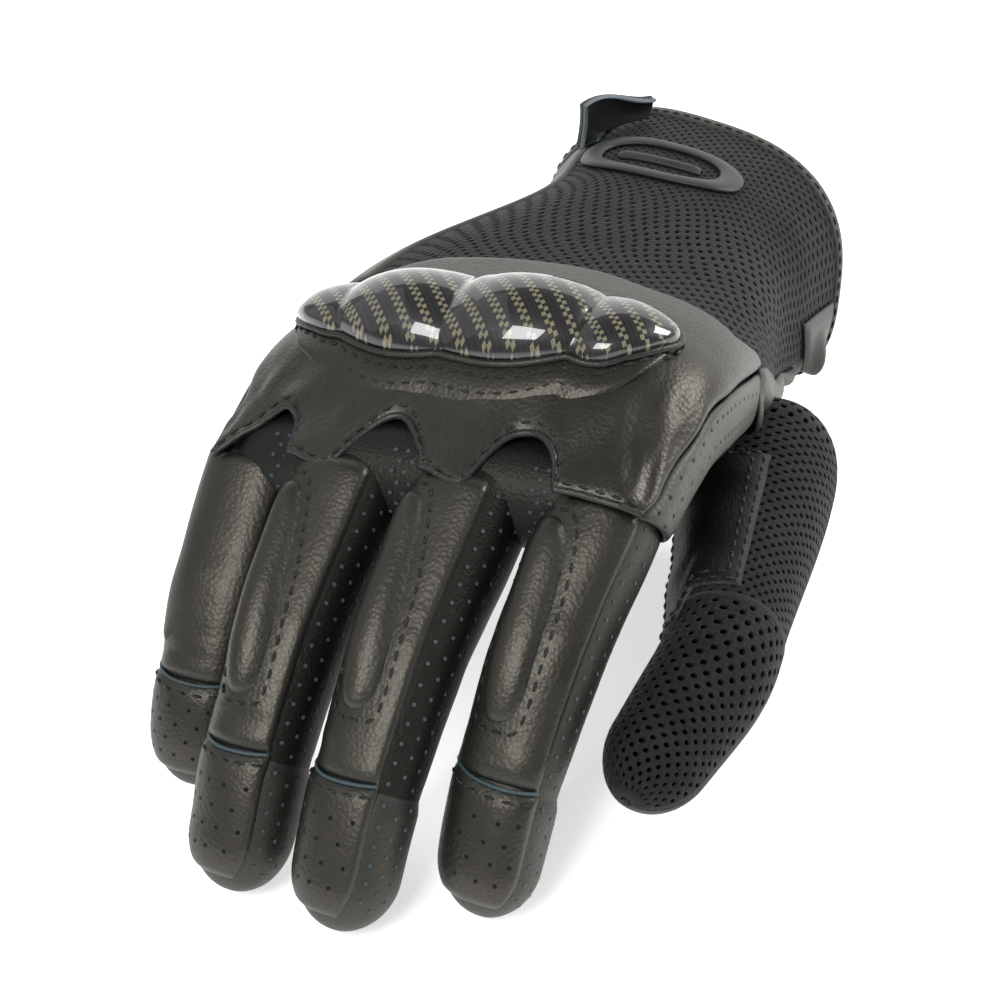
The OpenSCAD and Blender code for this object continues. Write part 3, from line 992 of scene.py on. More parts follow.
@dataclass
class HandShell:
    """The hand's leather, mesh and lining."""

    skin: HandSkin
    bend: WristBend
    wardrobe: Wardrobe
    panel_lift: float = 0.6
    lobe_lift: float = 2.7
    lobes: Stops = (
        (27, -0.02), (62.5, 0.03), (83, -0.2), (89.5, 0.03), (103.5, -0.14), (115.5, 0.03), (147, -0.03),
    )
    arches: tuple = (
        (62.5, 83.0, 0.5, 2.4, 0.6), (89.5, 103.5, 0.36, 1.7, 0.8), (115.5, 147.0, 0.26, 1.5, 0.9),
    )
    arch_top: float = 0.43
    mesh_line: Stops = (
        (4, 2.95), (30, 2.5), (62, 2.5), (88, 2.68), (106, 2.65), (140, 2.35), (170, 2.4),
    )
    side_line: Stops = ((0.0, 29.0), (0.3, 22.0), (0.85, 12.0), (1.6, 8.0), (2.95, 4.0))
    outer_line: Stops = ((0.0, 151.0), (0.5, 155.0), (1.2, 162.0), (2.6, 166.0))
    back_rear: float = 2.6
    cuff_end: float = 5.93
    mesh_turn: tuple[float, float] = (4, 134)
    facing_turn: tuple[float, float] = (131, 209)
    fold_height: float = 0.9
    stitch_inset: float = 1.7
    web_radius: float = 10.6
    web_span_mm: float = 4.0
    web_holes: int = 9
    web_hole_step: float = 11.0

    def front_edge(self, angle: float) -> float:
        """t of the back panel's scalloped front edge: lobes over the fingers, round arches over the webs.

        Args:
            angle: Angle round, in degrees.

        Returns:
            t of the edge.
        """
        base = through(self.lobes, angle)
        for start, end, peak, bend, droop in self.arches:
            share = (angle - start) / (end - start)
            if 0 < share < peak:
                return mix(base, self.arch_top, math.sqrt(1 - (1 - share / peak) ** 2))
            if peak <= share < 1:
                fall = (share - peak) / (1 - peak)
                return mix(base, self.arch_top, (1 - fall ** bend) ** droop)
        return base

    def mesh_edge(self, angle: float) -> float:
        """t of the border between the back leather and the mesh."""
        return through(self.mesh_line, angle)

    def side_edge(self, t: float) -> float:
        """Angle of the seam between the back panel and the thumb-side strip."""
        return through(self.side_line, t)

    def outer_edge(self, t: float) -> float:
        """Angle of the seam between the back panel and the little-finger side."""
        return through(self.outer_line, t)

    def back_place(self, u: float, v: float) -> tuple[float, float]:
        """(t, angle) of a share of the back panel.

        Args:
            u: Share across, 0 to 1.
            v: Share along, 0 to 1.

        Returns:
            t and the angle.
        """
        t = mix(0.0, self.back_rear, v)
        angle = self.skin.even(self.side_edge(t), self.outer_edge(t), u)
        return mix(self.front_edge(angle), self.mesh_edge(angle), v), angle

    def back_surface(self, u: float, v: float, lift: float) -> Vector:
        """The back panel's surface.

        Args:
            u: Share across, 0 to 1.
            v: Share along, 0 to 1.
            lift: Millimetres off the skin.

        Returns:
            The point.
        """
        t, angle = self.back_place(u, v)
        stand = mix(self.lobe_lift, self.panel_lift, smooth_step((t + 0.1) / 0.75))
        near = math.exp(-(((t - 0.45) / 0.45) ** 2))
        folds = noise.noise(Vector((angle * 0.13, t * 3.1, 0.4))) * self.fold_height * near
        return self.skin.point(t, angle, lift + stand + folds)

    def build(self) -> list[Piece]:
        """Makes every panel of the hand.

        Returns:
            The pieces.
        """
        w = self.wardrobe
        back = Panel("hand_back_leather", self.back_surface, (208, 57), (120, 62), roll=0.8)
        made = back.build(w.leather, Slot.LEATHER)
        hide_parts("back_panel")
        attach(made, "hand")
        thread = Stitching("hand_back_stitches")
        inside = self.stitch_inset / back.size[1]
        thread.sew(lambda s: back.spot(mix(0.02, 0.98, s), inside), 900)
        seam = thread.build(w.thread, Slot.LEATHER)
        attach(seam, "hand")
        edge = Piping("hand_front_piping", lambda s: self.lip(back, s), 0.75, 0.75, steps=460)
        piping = edge.build(w.trim_leather, Slot.LEATHER)
        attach(piping, "hand")
        return [made, seam, piping] + self.sides() + self.palm() + self.mesh() + self.webs() + self.lining()

    @staticmethod
    def lip(back: Panel, share: float) -> tuple[Vector, Vector]:
        """A point and facing just under the back panel's front edge."""
        here = back.at(mix(0.004, 0.996, share), 0.0, 0.05)
        return here, (back.at(mix(0.004, 0.996, share), 0.0, 1.0) - here).normalized()

    def sides(self) -> list[Piece]:
        """The strips along the thumb side and the little-finger side.

        Returns:
            The pieces.
        """
        w, skin = self.wardrobe, self.skin

        def thumb_side(u: float, v: float, lift: float) -> Vector:
            """The surface from below the hand's edge up to the back panel."""
            t = mix(-0.05, 3.05, v)
            return skin.point(t, mix(-17, self.side_edge(t), u), lift)

        def little_side(u: float, v: float, lift: float) -> Vector:
            """The surface from the back panel down round the hand's edge."""
            t = mix(-0.05, self.back_rear, v)
            return skin.point(t, mix(self.outer_edge(t), 207, u), lift)

        strip = Panel("hand_thumb_side_strip", thumb_side, (16, 44), (20, 62), lift=0.3)
        thumb_strip = strip.build(w.strip_leather, Slot.PERFORATED)
        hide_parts("radial_side_strip")
        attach(thumb_strip, "hand")
        eyes = Punching("hand_thumb_side_holes", 0.45)
        for row, u in enumerate((0.5, 0.78)):
            for k in range(17):
                eyes.punch(*strip.spot(u, (k + 0.5 + row * 0.5) / 18))
        holes = eyes.build(w.hole, Slot.PERFORATED)
        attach(holes, "hand")
        outer = Panel("hand_little_side", little_side, (18, 40), (34, 62), lift=0.3)
        little_strip = outer.build(w.suede, Slot.SUEDE)
        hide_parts("ulnar_side_panel")
        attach(little_strip, "hand")
        return [thumb_strip, holes, little_strip]

    def palm(self) -> list[Piece]:
        """The palm, its grip patch and its heel pad.

        Returns:
            The pieces.
        """
        w, skin = self.wardrobe, self.skin
        sheet = Panel("palm_leather", skin.patch(0.0, 4.05, 206, 343), (60, 60), (84, 100))
        palm = sheet.build(w.side_leather, Slot.LEATHER)
        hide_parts("palm_panel")
        self.bend.join(palm)
        grip = Panel("palm_grip", skin.patch(0.6, 1.8, 222, 318), (40, 20), (60, 22), lift=1.2, wall=1.0)
        patch = grip.build(w.suede, Slot.SUEDE)
        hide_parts("palm_grip_patch")
        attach(patch, "hand")

        def crown(u: float, v: float) -> float:
            """The cushion's swell, level at its sides."""
            return 2.2 * (math.sin(math.pi * u) * math.sin(math.pi * v)) ** 0.5

        heel = Panel("palm_heel_cushion", skin.patch(2.6, 3.38, 223, 277), (24, 20), (34, 26), relief=crown)
        pad = heel.build(w.leather, Slot.LEATHER)
        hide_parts("palm_heel_pad")
        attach(pad, "hand")
        thread = Stitching("palm_stitches")
        for panel in (grip, heel):
            near = 1.6 / panel.size[0]
            for u in (near, 1 - near):
                thread.sew(lambda s, p=panel, u=u: p.spot(u, mix(0.04, 0.96, s)))
            near = 1.6 / panel.size[1]
            for v in (near, 1 - near):
                thread.sew(lambda s, p=panel, v=v: p.spot(mix(0.03, 0.97, s), v))
        seam = thread.build(w.thread, Slot.LEATHER)
        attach(seam, "hand")
        return [palm, patch, pad, seam]

    def mesh(self) -> list[Piece]:
        """The knitted mesh over the back of the wrist and the cuff.

        Returns:
            The pieces.
        """

        def surface(u: float, v: float, lift: float) -> Vector:
            """The mesh's surface, from the back leather to the cuff's end."""
            angle = self.skin.even(*self.mesh_turn, u)
            t = mix(self.mesh_edge(angle) - 0.12, self.cuff_end, v)
            angle = self.skin.even(self.skin.thumb_edge(t), self.mesh_turn[1], u)
            return self.skin.point(t, angle, lift)

        knit = KnitPanel("cuff_mesh", surface, (54, 56), (100, 98), wall=0.6, lift=0.1, roll=0, smooth=0)
        piece = knit.build(self.wardrobe.knit, Slot.MESH)
        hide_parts("back_mesh_panel", "cuff_back")
        self.bend.join(piece)
        outer = self.skin.patch(2.35, self.cuff_end, *self.facing_turn)
        facing = Panel("cuff_outer_facing", outer, (60, 70), (66, 98), lift=0.9)
        strip = facing.build(self.wardrobe.suede, Slot.SUEDE)
        self.bend.join(strip)
        return [piece, strip]

    def webs(self) -> list[Piece]:
        """The soft leather roll between the finger roots, with its perforations.

        Returns:
            The pieces.
        """
        bones = self.skin.bones
        roots = [bones.place(f"{name}_root_joint") for name in ("index", "middle", "ring", "little")]
        across = (roots[0] - roots[1]).normalized()
        down = Vector((0, -0.3, 1)).normalized()

        def path(share: float) -> tuple[Vector, Vector]:
            """The roll's centre from the index finger's root to the little one's, and the way up."""
            place = share * 3
            i = min(int(place), 2)
            here = roots[i].lerp(roots[i + 1], place - i)
            here = here + across * (self.web_span_mm * MM * (1 - 2 * share)) + Vector((0.0, 4.5, 2.0)) * MM
            return here, (down - across * down.dot(across)).normalized()

        roll = Piping("finger_webs", path, self.web_radius, self.web_radius, steps=60, sides=24)
        # The webs take side_leather, darkened as painted shade between the fingers.
        piece = roll.build(self.wardrobe.side_leather, Slot.LEATHER)
        eyes = Punching("finger_web_holes", 0.4)
        for web in range(3):
            here, up = path((web + 0.5) / 3)
            ahead = across.cross(up).normalized()
            ahead = ahead if ahead.y < 0 else -ahead
            for k in range(self.web_holes):
                turn = math.radians(-12 + self.web_hole_step * k)
                away = ahead * math.cos(turn) + up * math.sin(turn)
                for row in (-1.0, 0.0, 1.0):
                    shift = across * (row * 2.4 + (0.6 if k % 2 else -0.6)) * MM
                    eyes.punch(here + shift + away * (self.web_radius + 0.03) * MM, away)
        holes = eyes.build(self.wardrobe.hole_blue, Slot.PERFORATED)
        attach(piece, "hand")
        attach(holes, "hand")
        return [piece, holes]

    def lining(self) -> list[Piece]:
        """The knitted lining inside the hand and the cuff.

        Returns:
            The pieces.
        """
        tube = Panel(
            "hand_inner_lining", self.skin.patch(0.75, 5.9, 0, 360), (72, 60), (200, 150), wall=0.5,
            lift=-1.6, roll=0, rolled=UNROLLED, closed=True, smooth=0,
        )
        piece = tube.build(self.wardrobe.lining, Slot.LINING)
        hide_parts("hand_lining")
        self.bend.join(piece)
        return [piece]


@dataclass
class KnuckleGuard:
    """The carbon guard with four domes, its foam, its leather surround and its piping."""

    skin: HandSkin
    wardrobe: Wardrobe
    angles: tuple[float, float] = (44.0, 138.0)
    front: float = 0.82
    rear: float = 1.92
    front_bow: float = 0.40
    rear_bow: float = -0.20
    domes: tuple = ((0.0, 0.225, 0.82), (0.225, 0.535, 1.0), (0.535, 0.815, 1.0), (0.815, 1.0, 0.85))
    dome_height: float = 6.6
    valley: float = 0.52
    corner: float = 0.2
    middle: float = 91.0
    half_turn: float = 47.0
    end_wave: float = 0.13
    wave: float = 0.045
    rim_rows: tuple[tuple[float, float], ...] = ((1.4, 1.55), (3.0, 1.0))

    def place(self, u: float, v: float, margin: float = 0.0) -> tuple[float, float]:
        """(t, angle) of a share of the guard's round-cornered outline, widened by margin millimetres.

        Args:
            u: Share across, 0 to 1.
            v: Share along, 0 to 1.
            margin: Millimetres past the outline.

        Returns:
            t and the angle.
        """
        u2, v2 = (u - 0.5) * 2, (v - 0.5) * 2
        pull = 1 - self.corner * abs(u2 * v2) ** 3
        u, v = 0.5 + u2 / 2 * pull, 0.5 + v2 / 2 * pull
        spread = margin * 0.75
        angle = self.skin.even(self.angles[0] - spread, self.angles[1] + spread, u)
        bow = ((angle - self.middle) / self.half_turn) ** 2
        wave = 0.0
        for low, high, _ in self.domes:
            if low < u < high:
                size = self.end_wave if low == 0 else self.wave
                wave = math.sin(math.pi * (u - low) / (high - low)) * size
        t0 = self.front + self.front_bow * bow - wave - margin / 17
        t1 = self.rear + self.rear_bow * bow + margin / 22
        return mix(t0, t1, v), angle

    def surface(self, margin: float = 0.0) -> Surface:
        """The skin over the guard's outline.

        Args:
            margin: Millimetres past the outline.

        Returns:
            The surface.
        """

        def at(u: float, v: float, lift: float) -> Vector:
            """The skin at a share of the outline."""
            t, angle = self.place(u, v, margin)
            return self.skin.point(t, angle, lift)

        return at

    def dome(self, u: float, v: float) -> float:
        """The domes' height at a share of the guard.

        Args:
            u: Share round, 0 to 1.
            v: Share along, 0 to 1.

        Returns:
            The height, in millimetres.
        """
        for low, high, tall in self.domes:
            if u <= high:
                across = math.sin(math.pi * (u - low) / (high - low))
                swell = self.valley + (1 - self.valley) * max(across, 0.0) ** 0.75
                ends = max(math.sin(math.pi * u), 0.0) ** 0.4
                rise = max(math.sin(math.pi * v), 0.0) ** 0.5
                return self.dome_height * tall * swell * ends * rise
        return 0.0

    def rim(self, share: float, margin: float, lift: float) -> tuple[Vector, Vector]:
        """A point and facing on the guard's outline, once round it.

        Args:
            share: The share, 0 to 1.
            margin: Millimetres past the outline.
            lift: Millimetres off the skin.

        Returns:
            The point and the way it faces.
        """
        around = share % 1.0 * 4
        side = int(around)
        along = around - side
        u, v = ((along, 0.0), (1.0, along), (1 - along, 1.0), (0.0, 1 - along))[side]
        at = self.surface(margin)
        here = at(u, v, lift)
        return here, (at(u, v, lift + 1) - here).normalized()

    def build(self) -> list[Piece]:
        """Makes the guard and what it sits in.

        Returns:
            The pieces.
        """
        w = self.wardrobe
        shell = Panel(
            "knuckle_guard_carbon", self.surface(), (128, 40), (84, 26), wall=1.2, lift=2.6, roll=1.0,
            roll_width=1.4, relief=self.dome,
        )
        guard = shell.build(w.carbon, Slot.CARBON)
        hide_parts("knuckle_guard")
        cushion = Panel(
            "guard_cushion", self.surface(-2.0), (40, 12), (80, 22), wall=1.6, lift=2.3, roll=0.6,
            relief=lambda u, v: 0.7 * self.dome(u, v) - 0.4,
        )
        foam = cushion.build(w.foam, Slot.FOAM)
        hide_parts("guard_foam")

        collar = Panel(
            "guard_leather_collar", self.surface(4.8), (130, 40), (94, 37), wall=1.2, lift=1.45, roll=1.5,
            roll_width=1.9,
        )
        surround = collar.build(w.leather, Slot.LEATHER)
        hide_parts("guard_surround")
        edge = Piping("guard_piping", lambda s: self.rim(s, 0.1, 1.9), 0.75, 0.75, steps=260, loop=True)
        piping = edge.build(w.trim_leather, Slot.LEATHER)
        thread = Stitching("guard_stitches")
        for margin, height in self.rim_rows:
            thread.sew(lambda s, m=margin, h=height: self.rim(s, m, h), 400)
        seam = thread.build(w.thread, Slot.LEATHER)
        made = [guard, foam, surround, piping, seam]
        for piece in made:
            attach(piece, "hand")
        return made


# ---------------------------------------------------------------- fingers


def round_rooted(v: float, root: float, end: float) -> float:
    """s for a share v of a limb's tube: round the closed root first, then evenly to the end.

    Args:
        v: Share along, 0 to 1.
        root: s at the very root, below 0.
        end: s at the far end.

    Returns:
        s there.
    """
    if v < ROOT_SHARE:
        return root * math.cos(v / ROOT_SHARE * math.pi / 2)
    return mix(0.0, end, (v - ROOT_SHARE) / (1 - ROOT_SHARE))


class Limb:
    """What a finger and the thumb share: a bent centre line and a rounded end.

    s runs along the limb from its root joint, in millimetres, and phi round it, 90 being its back.
    """

    length: float
    heading: Vector
    line: list[Vector]
    step: float
    tip_round: float

    def ahead(self, s: float) -> Vector:
        """The way the limb points at s; each kind says how."""
        raise NotImplementedError

    def point(self, s: float, phi: float, lift: float = 0.0) -> Vector:
        """A point on the limb, in metres, raised by lift millimetres; each kind says how."""
        raise NotImplementedError

    def lay_line(self, root: Vector) -> None:
        """Lays out the centre line from the root joint, in millimetres.

        Args:
            root: The root joint's place.
        """
        self.line = [root]
        for k in range(int(self.length / self.step) + 2):
            self.line.append(self.line[-1] + self.ahead((k + 0.5) * self.step) * self.step)

    def centre(self, s: float) -> Vector:
        """The centre line at s, in millimetres.

        Args:
            s: Millimetres from the root joint.

        Returns:
            The point.
        """
        if s <= 0:
            return self.line[0] + self.heading * s
        place = min(s / self.step, len(self.line) - 1.001)
        i = int(place)
        return self.line[i].lerp(self.line[i + 1], place - i)

    def past_round(self, s: float) -> float:
        """How far s is into the rounded end: below 0 before it, 1 at the very tip."""
        return (s - self.length + self.tip_round) / self.tip_round

    def lifted(self, s: float, lift: float) -> tuple[float, float]:
        """Splits a lift into the part that goes outwards and the part that goes forwards, past the tip.

        Args:
            s: Millimetres from the root joint.
            lift: Millimetres off the skin.

        Returns:
            The outward and forward parts.
        """
        end = self.past_round(s)
        if end > 0:
            return lift * math.sqrt(max(1 - end * end, 0.0)), lift * end
        return lift, 0.0

    def facing(self, s: float, phi: float, low: float, high: float) -> tuple[Vector, Vector]:
        """The point at the low lift and the way from it to the high one."""
        here = self.point(s, phi, low)
        return here, (self.point(s, phi, high) - here).normalized()

    def patch(self, s0: float, s1: float, p0: float, p1: float) -> Surface:
        """The surface over a range of s (as v) and phi (as u)."""
        return lambda u, v, lift: self.point(mix(s0, s1, v), mix(p0, p1, u), lift)


@dataclass
class FingerForm(Limb):
    """The round form of one finger about its joints."""

    name: str
    bones: Skeleton
    size: float
    width: tuple[float, float, float, float] = (23.0, 21.2, 19.6, 18.4)
    depth: tuple[float, float, float, float] = (22.0, 19.6, 17.4, 15.4)
    tip_share: float = 0.3 / 0.33
    rest_bend: float = 12.0
    bend_reach: float = 7.0
    tip_round: float = 10.5
    power: float = 2.35
    step: float = 0.5
    lump_share: float = 0.35 / 12
    lump_pitch: float = 0.09

    def __post_init__(self) -> None:
        """Measures the finger from its joints and lays out its centre line."""
        joints = (f"{self.name}_{part}_joint" for part in ("root", "middle", "tip"))
        root, middle, tip = (self.bones.place(joint) / MM for joint in joints)
        self.side = self.bones.axis(f"{self.name}_root_joint")
        self.first = (middle - root).length
        self.second = self.first + (tip - middle).length
        self.length = self.second + (tip - middle).length * self.tip_share
        self.heading = (middle - root).normalized()
        self.lay_line(root)

    def bent(self, s: float) -> float:
        """Degrees bent at s from the finger's root.

        Args:
            s: Millimetres from the root joint.

        Returns:
            The bend, in degrees.
        """
        reach = self.bend_reach
        return self.rest_bend * sum(
            smooth_step((s - joint + reach) / (2 * reach)) for joint in (self.first, self.second)
        )

    def ahead(self, s: float) -> Vector:
        """The way the finger points at s."""
        return Matrix.Rotation(math.radians(self.bent(s)), 3, self.side) @ self.heading

    def reach(self, s: float) -> tuple[float, float]:
        """Half the finger's width and depth at s.

        Args:
            s: Millimetres from the root joint.

        Returns:
            Half the width and half the depth, in millimetres.
        """
        stops = (0.0, self.first, self.second, self.length)
        wide = through(tuple(zip(stops, self.width)), s) * self.size / 2
        deep = through(tuple(zip(stops, self.depth)), s) * self.size / 2
        if s < 0:
            turn = math.sqrt(max(1 - (s / (deep - 0.4)) ** 2, 0.0))
            return wide * (0.72 + 0.28 * turn), deep * turn
        over = self.past_round(s)
        if over > 0:
            turn = math.sqrt(max(1 - over * over, 0.0))
            return wide * turn, deep * turn
        return wide, deep

    def point(self, s: float, phi: float, lift: float = 0.0) -> Vector:
        """A point on the finger, in metres, raised by lift millimetres.

        Args:
            s: Millimetres from the root joint.
            phi: Angle round, in degrees.
            lift: Millimetres off the skin.

        Returns:
            The point.
        """
        wide, deep = self.reach(s)
        ahead = self.ahead(s)
        up = ahead.cross(self.side).normalized()
        a = math.radians(phi)
        across = signed_power(math.cos(a), 2 / self.power)
        over = signed_power(math.sin(a), 2 / self.power)
        raised, forward = self.lifted(s, lift)
        shape = self.side * across * (wide + raised) + up * over * (deep + raised)
        lumps = self.lump_share * noise.noise((self.centre(s) + shape) * self.lump_pitch)
        return (self.centre(s) + shape * (1 + lumps) + ahead * forward) * MM


@dataclass
class Finger:
    """One finger: perforated sides, back, palm, rib, cap and wrapped tip."""

    form: FingerForm
    wardrobe: Wardrobe
    seam_thumb: float
    seam_little: float
    rib_turn: Optional[tuple[float, float]] = None
    rib_span: tuple[float, float] = (7.5, 40.0)
    rib_half: float = 4.5
    rib_height: float = 2.7
    cap_before: float = 2.0
    cap_end: float = 3.0
    suede_end: Optional[float] = None
    outer_wall: bool = False
    crease_height: float = 0.55
    root_sink: float = 1.9
    hole_pitch: float = 3.6
    hole_gaps: tuple[tuple[int, ...], tuple[int, ...]] = ((9, 28, 48), (10, 28))
    wrap_pitch: float = 3.4
    wrap_gaps: tuple[int, ...] = (10, 30, 50)
    cap_rows: int = 4
    cap_step: float = 0.17
    ring_gap: float = 1.0
    strip_line: Stops = ((0.0, 116.0), (20.0, 106.0), (30.0, 104.0), (36.0, 128.0))

    @property
    def name(self) -> str:
        """The finger's name."""
        return self.form.name

    @property
    def cap_seam(self) -> float:
        """s of the seam where the cap starts."""
        return self.form.second - self.cap_before

    def wrinkles(self, u: float, v: float) -> float:
        """Soft creases across the leather near the joints, in millimetres.

        Args:
            u: Share across, 0 to 1.
            v: Share along, 0 to 1.

        Returns:
            The height.
        """
        s = mix(-5.0, self.cap_seam, v)
        seed = float(len(self.name)) * 3.7 + self.form.size * 11
        near_tip = math.exp(-(((s - self.cap_seam + 3) / 5) ** 2))
        near = near_tip + 0.5 * math.exp(-(((s - self.form.first) / 8) ** 2))
        wave = noise.noise(Vector((u * 1.6, s * 0.34, seed))) * math.sin(math.pi * u) ** 0.5
        return self.crease_height * near * wave - self.root_sink * smooth_step((0.5 - s) / 4.5)

    def hinge(self, piece: Piece, outer: bool = False) -> Piece:
        """Bakes the piece's transform into its mesh; the middle joint, or the tip joint if it is an outer
        one, is looked up but the piece is not bent across it.

        Args:
            piece: The piece.
            outer: True for the tip joint.

        Returns:
            The same piece.
        """
        form, reach = self.form, self.form.bend_reach
        if outer:
            low, high, bodies = self.cap_seam, self.cap_seam + 8, ("middle", "tip")
        else:
            low, high, bodies = form.first - reach, form.first + reach, ("finger", "middle")
        near, far = (f"{self.name}_{body}" for body in bodies)
        form.centre(low) * MM
        form.centre(high) * MM
        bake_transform(piece)
        return piece

    def build(self) -> list[Piece]:
        """Makes every piece of the finger.

        Returns:
            The pieces.
        """
        made = self.base() + self.tip()
        if self.rib_turn:
            made += self.rib()
        if self.suede_end:
            made += self.outer_strip()
        return made

    def outer_strip(self) -> list[Piece]:
        """The lighter strip that runs on from the hand along the finger's outer side.

        Returns:
            The pieces.
        """
        form = self.form

        def place(u: float, v: float, lift: float) -> Vector:
            """The strip's surface."""
            s = mix(-4.0, self.suede_end, v)
            return form.point(s, mix(through(self.strip_line, s), 228, u), lift)

        strip = Panel(f"{self.name}_outer_strip", place, (24, 40), (18, 40), lift=1.0, roll=0.8)
        piece = strip.build(self.wardrobe.suede, Slot.SUEDE)
        return [self.hinge(piece)]

    def base(self) -> list[Piece]:
        """The perforated sides, the back and the palm of the finger up to its cap.

        Returns:
            The pieces.
        """
        form, w, name = self.form, self.wardrobe, self.name
        deep = form.depth[0] * form.size / 2 - 0.6
        s0, s1 = -deep, self.cap_seam + 1.0

        def tube(u: float, v: float, lift: float) -> Vector:
            """The closed tube from the round root to the cap."""
            s = round_rooted(v, s0, s1)
            return form.point(s, u * 360, lift - 0.5 * smooth_step(1 - v / ROOT_SHARE))

        # The index's walls take the plainer outer-wall leather; the other fingers' walls lie between fingers
        # and take side_leather, darkened there as painted shade.
        sides = Panel(
            f"{name}_side_walls", tube, (56, 56), (66, s1 - s0), wall=0, lift=-0.5, roll=0,
            rolled=UNROLLED, closed=True,
        ).build(w.outer_wall if self.outer_wall else w.side_leather, Slot.PERFORATED)
        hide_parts(f"{name}_sides", f"{name}_middle_sides")
        skin = form.patch(-5.0, self.cap_seam, self.seam_thumb, self.seam_little)
        back = Panel(
            f"{name}_back_leather", skin, (40, 64), (26, self.cap_seam + 5), lift=0.5, roll=1.1,
            relief=self.wrinkles,
        )
        leather = back.build(w.leather, Slot.LEATHER)
        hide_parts(f"{name}_back", f"{name}_middle_back")
        skin = form.patch(-4.0, self.cap_seam, 218, 322)
        under = Panel(
            f"{name}_palm_leather", skin, (24, 56), (22, self.cap_seam + 4), lift=0.3, roll=0.9
        )
        palm = under.build(w.side_leather, Slot.LEATHER)
        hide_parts(f"{name}_palm", f"{name}_middle_palm")
        eyes = Punching(f"{name}_side_holes", 0.4)
        turns = [self.seam_thumb - gap for gap in self.hole_gaps[0]]
        turns += [self.seam_little + gap for gap in self.hole_gaps[1]]
        for row, phi in enumerate(turns):
            for k in range(int((form.length - 8) / self.hole_pitch)):
                s = (k + row % 2 / 2) * self.hole_pitch
                if s <= self.cap_seam - 0.5:
                    eyes.punch(*form.facing(s, phi, -0.42, 0.6))
        holes = eyes.build(w.hole_blue, Slot.PERFORATED)
        made = [sides, leather, palm, holes]
        for piece in made:
            self.hinge(piece)
        return made

    def tip(self) -> list[Piece]:
        """The wrapped fingertip and its perforated cap.

        Returns:
            The pieces.
        """
        form, w, name = self.form, self.wardrobe, self.name
        s0, s1 = self.cap_seam, form.length

        def shell(u: float, v: float, lift: float) -> Vector:
            """The closed end, from the seam to the very tip."""
            return form.point(mix(s0, s1, math.sin(v * math.pi / 2)), u * 360, lift)

        wrap = Panel(
            f"{name}_tip_wrap_leather", shell, (56, 30), (60, s1 - s0), wall=0, lift=0.1, roll=0.7,
            rolled=(False, False, True, False), closed=True,
        ).build(w.outer_wall, Slot.PERFORATED)
        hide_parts(f"{name}_tip_wrap")
        end = s1 - self.cap_end

        def cap_place(u: float, v: float) -> tuple[float, float]:
            """(s, phi) at a share of the cap, slanted where it starts and narrower at its end."""
            slant = 1.8 * math.sin(math.pi * u) - 2.0 * u
            middle = (self.seam_thumb + self.seam_little) / 2
            reach = (self.seam_little - self.seam_thumb) / 2 * (1 - 0.3 * v ** 7)
            return mix(s0 - 0.6 + slant, end, v), middle + reach * (2 * u - 1)

        def cap_surface(u: float, v: float, lift: float) -> Vector:
            """The cap's surface."""
            return form.point(*cap_place(u, v), lift)

        cap = Panel(f"{name}_cap_leather", cap_surface, (40, 34), (24, end - s0), lift=0.8, roll=0.8)
        leather = cap.build(w.cap_leather, Slot.PERFORATED)
        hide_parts(f"{name}_tip_cap")
        eyes = Punching(f"{name}_cap_holes", 0.42)
        step = self.cap_step
        for row in range(self.cap_rows):
            for k in range(5 - row % 2):
                eyes.punch(*cap.spot(0.16 + (k + (row % 2) * 0.5) * step, 0.24 + row * step))
        holes = eyes.build(w.hole, Slot.PERFORATED)
        dots = Punching(f"{name}_wrap_holes", 0.4)
        for row, gap in enumerate(self.wrap_gaps):
            for k in range(6):
                s = s0 + 2.0 + (k + row % 2 / 2) * self.wrap_pitch
                if s < form.length - 3:
                    dots.punch(*form.facing(s, self.seam_thumb - gap, 0.14, 1.1))
        marks = dots.build(w.hole_blue, Slot.PERFORATED)

        def brow(share: float) -> tuple[Vector, Vector]:
            """The cap's first edge, where its piping lies."""
            here = cap.at(mix(0.02, 0.98, share), 0.0, 0.25)
            return here, (cap.at(mix(0.02, 0.98, share), 0.0, 1.25) - here).normalized()

        piping = Piping(f"{name}_cap_piping", brow, 0.34, 0.3, steps=60).build(w.seam_edge, Slot.LEATHER)
        thread = Stitching(f"{name}_cap_stitches")
        thread.sew(lambda s: cap.spot(mix(0.04, 0.96, s), 1.7 / cap.size[1]))
        seam = thread.build(w.thread, Slot.LEATHER)
        made = [wrap, leather, holes, marks, piping, seam]
        for piece in made:
            self.hinge(piece, outer=True)
        return made

    def rib(self) -> list[Piece]:
        """The raised, padded rib on the finger's back and the stitching round it.

        Returns:
            The pieces.
        """
        form, w = self.form, self.wardrobe
        low, high = self.rib_span

        def place(u: float, v: float) -> tuple[float, float]:
            """(s, phi) at a share of the rib, drawn in at its ends."""
            s = mix(low, high, v)
            middle = 90 + mix(*self.rib_turn, v)
            ends = math.sqrt(max(1 - abs(2 * v - 1) ** 5, 0.0))
            spread = math.degrees(self.rib_half / form.reach(s)[0]) * ends
            return s, middle + spread * (2 * u - 1)

        def swell(u: float, v: float) -> float:
            """The rib's round rise."""
            across = max(math.sin(math.pi * u), 0.0) ** 0.8
            return self.rib_height * across * max(math.sin(math.pi * v), 0.0) ** 0.3

        body = Panel(
            f"{self.name}_rib_padding", lambda u, v, lift: form.point(*place(u, v), lift), (18, 60),
            (2 * self.rib_half, high - low), lift=0.35, roll=0.5, relief=swell,
        )
        pad = body.build(w.leather, Slot.LEATHER)
        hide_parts(f"{self.name}_rib")
        thread = Stitching(f"{self.name}_rib_stitches")

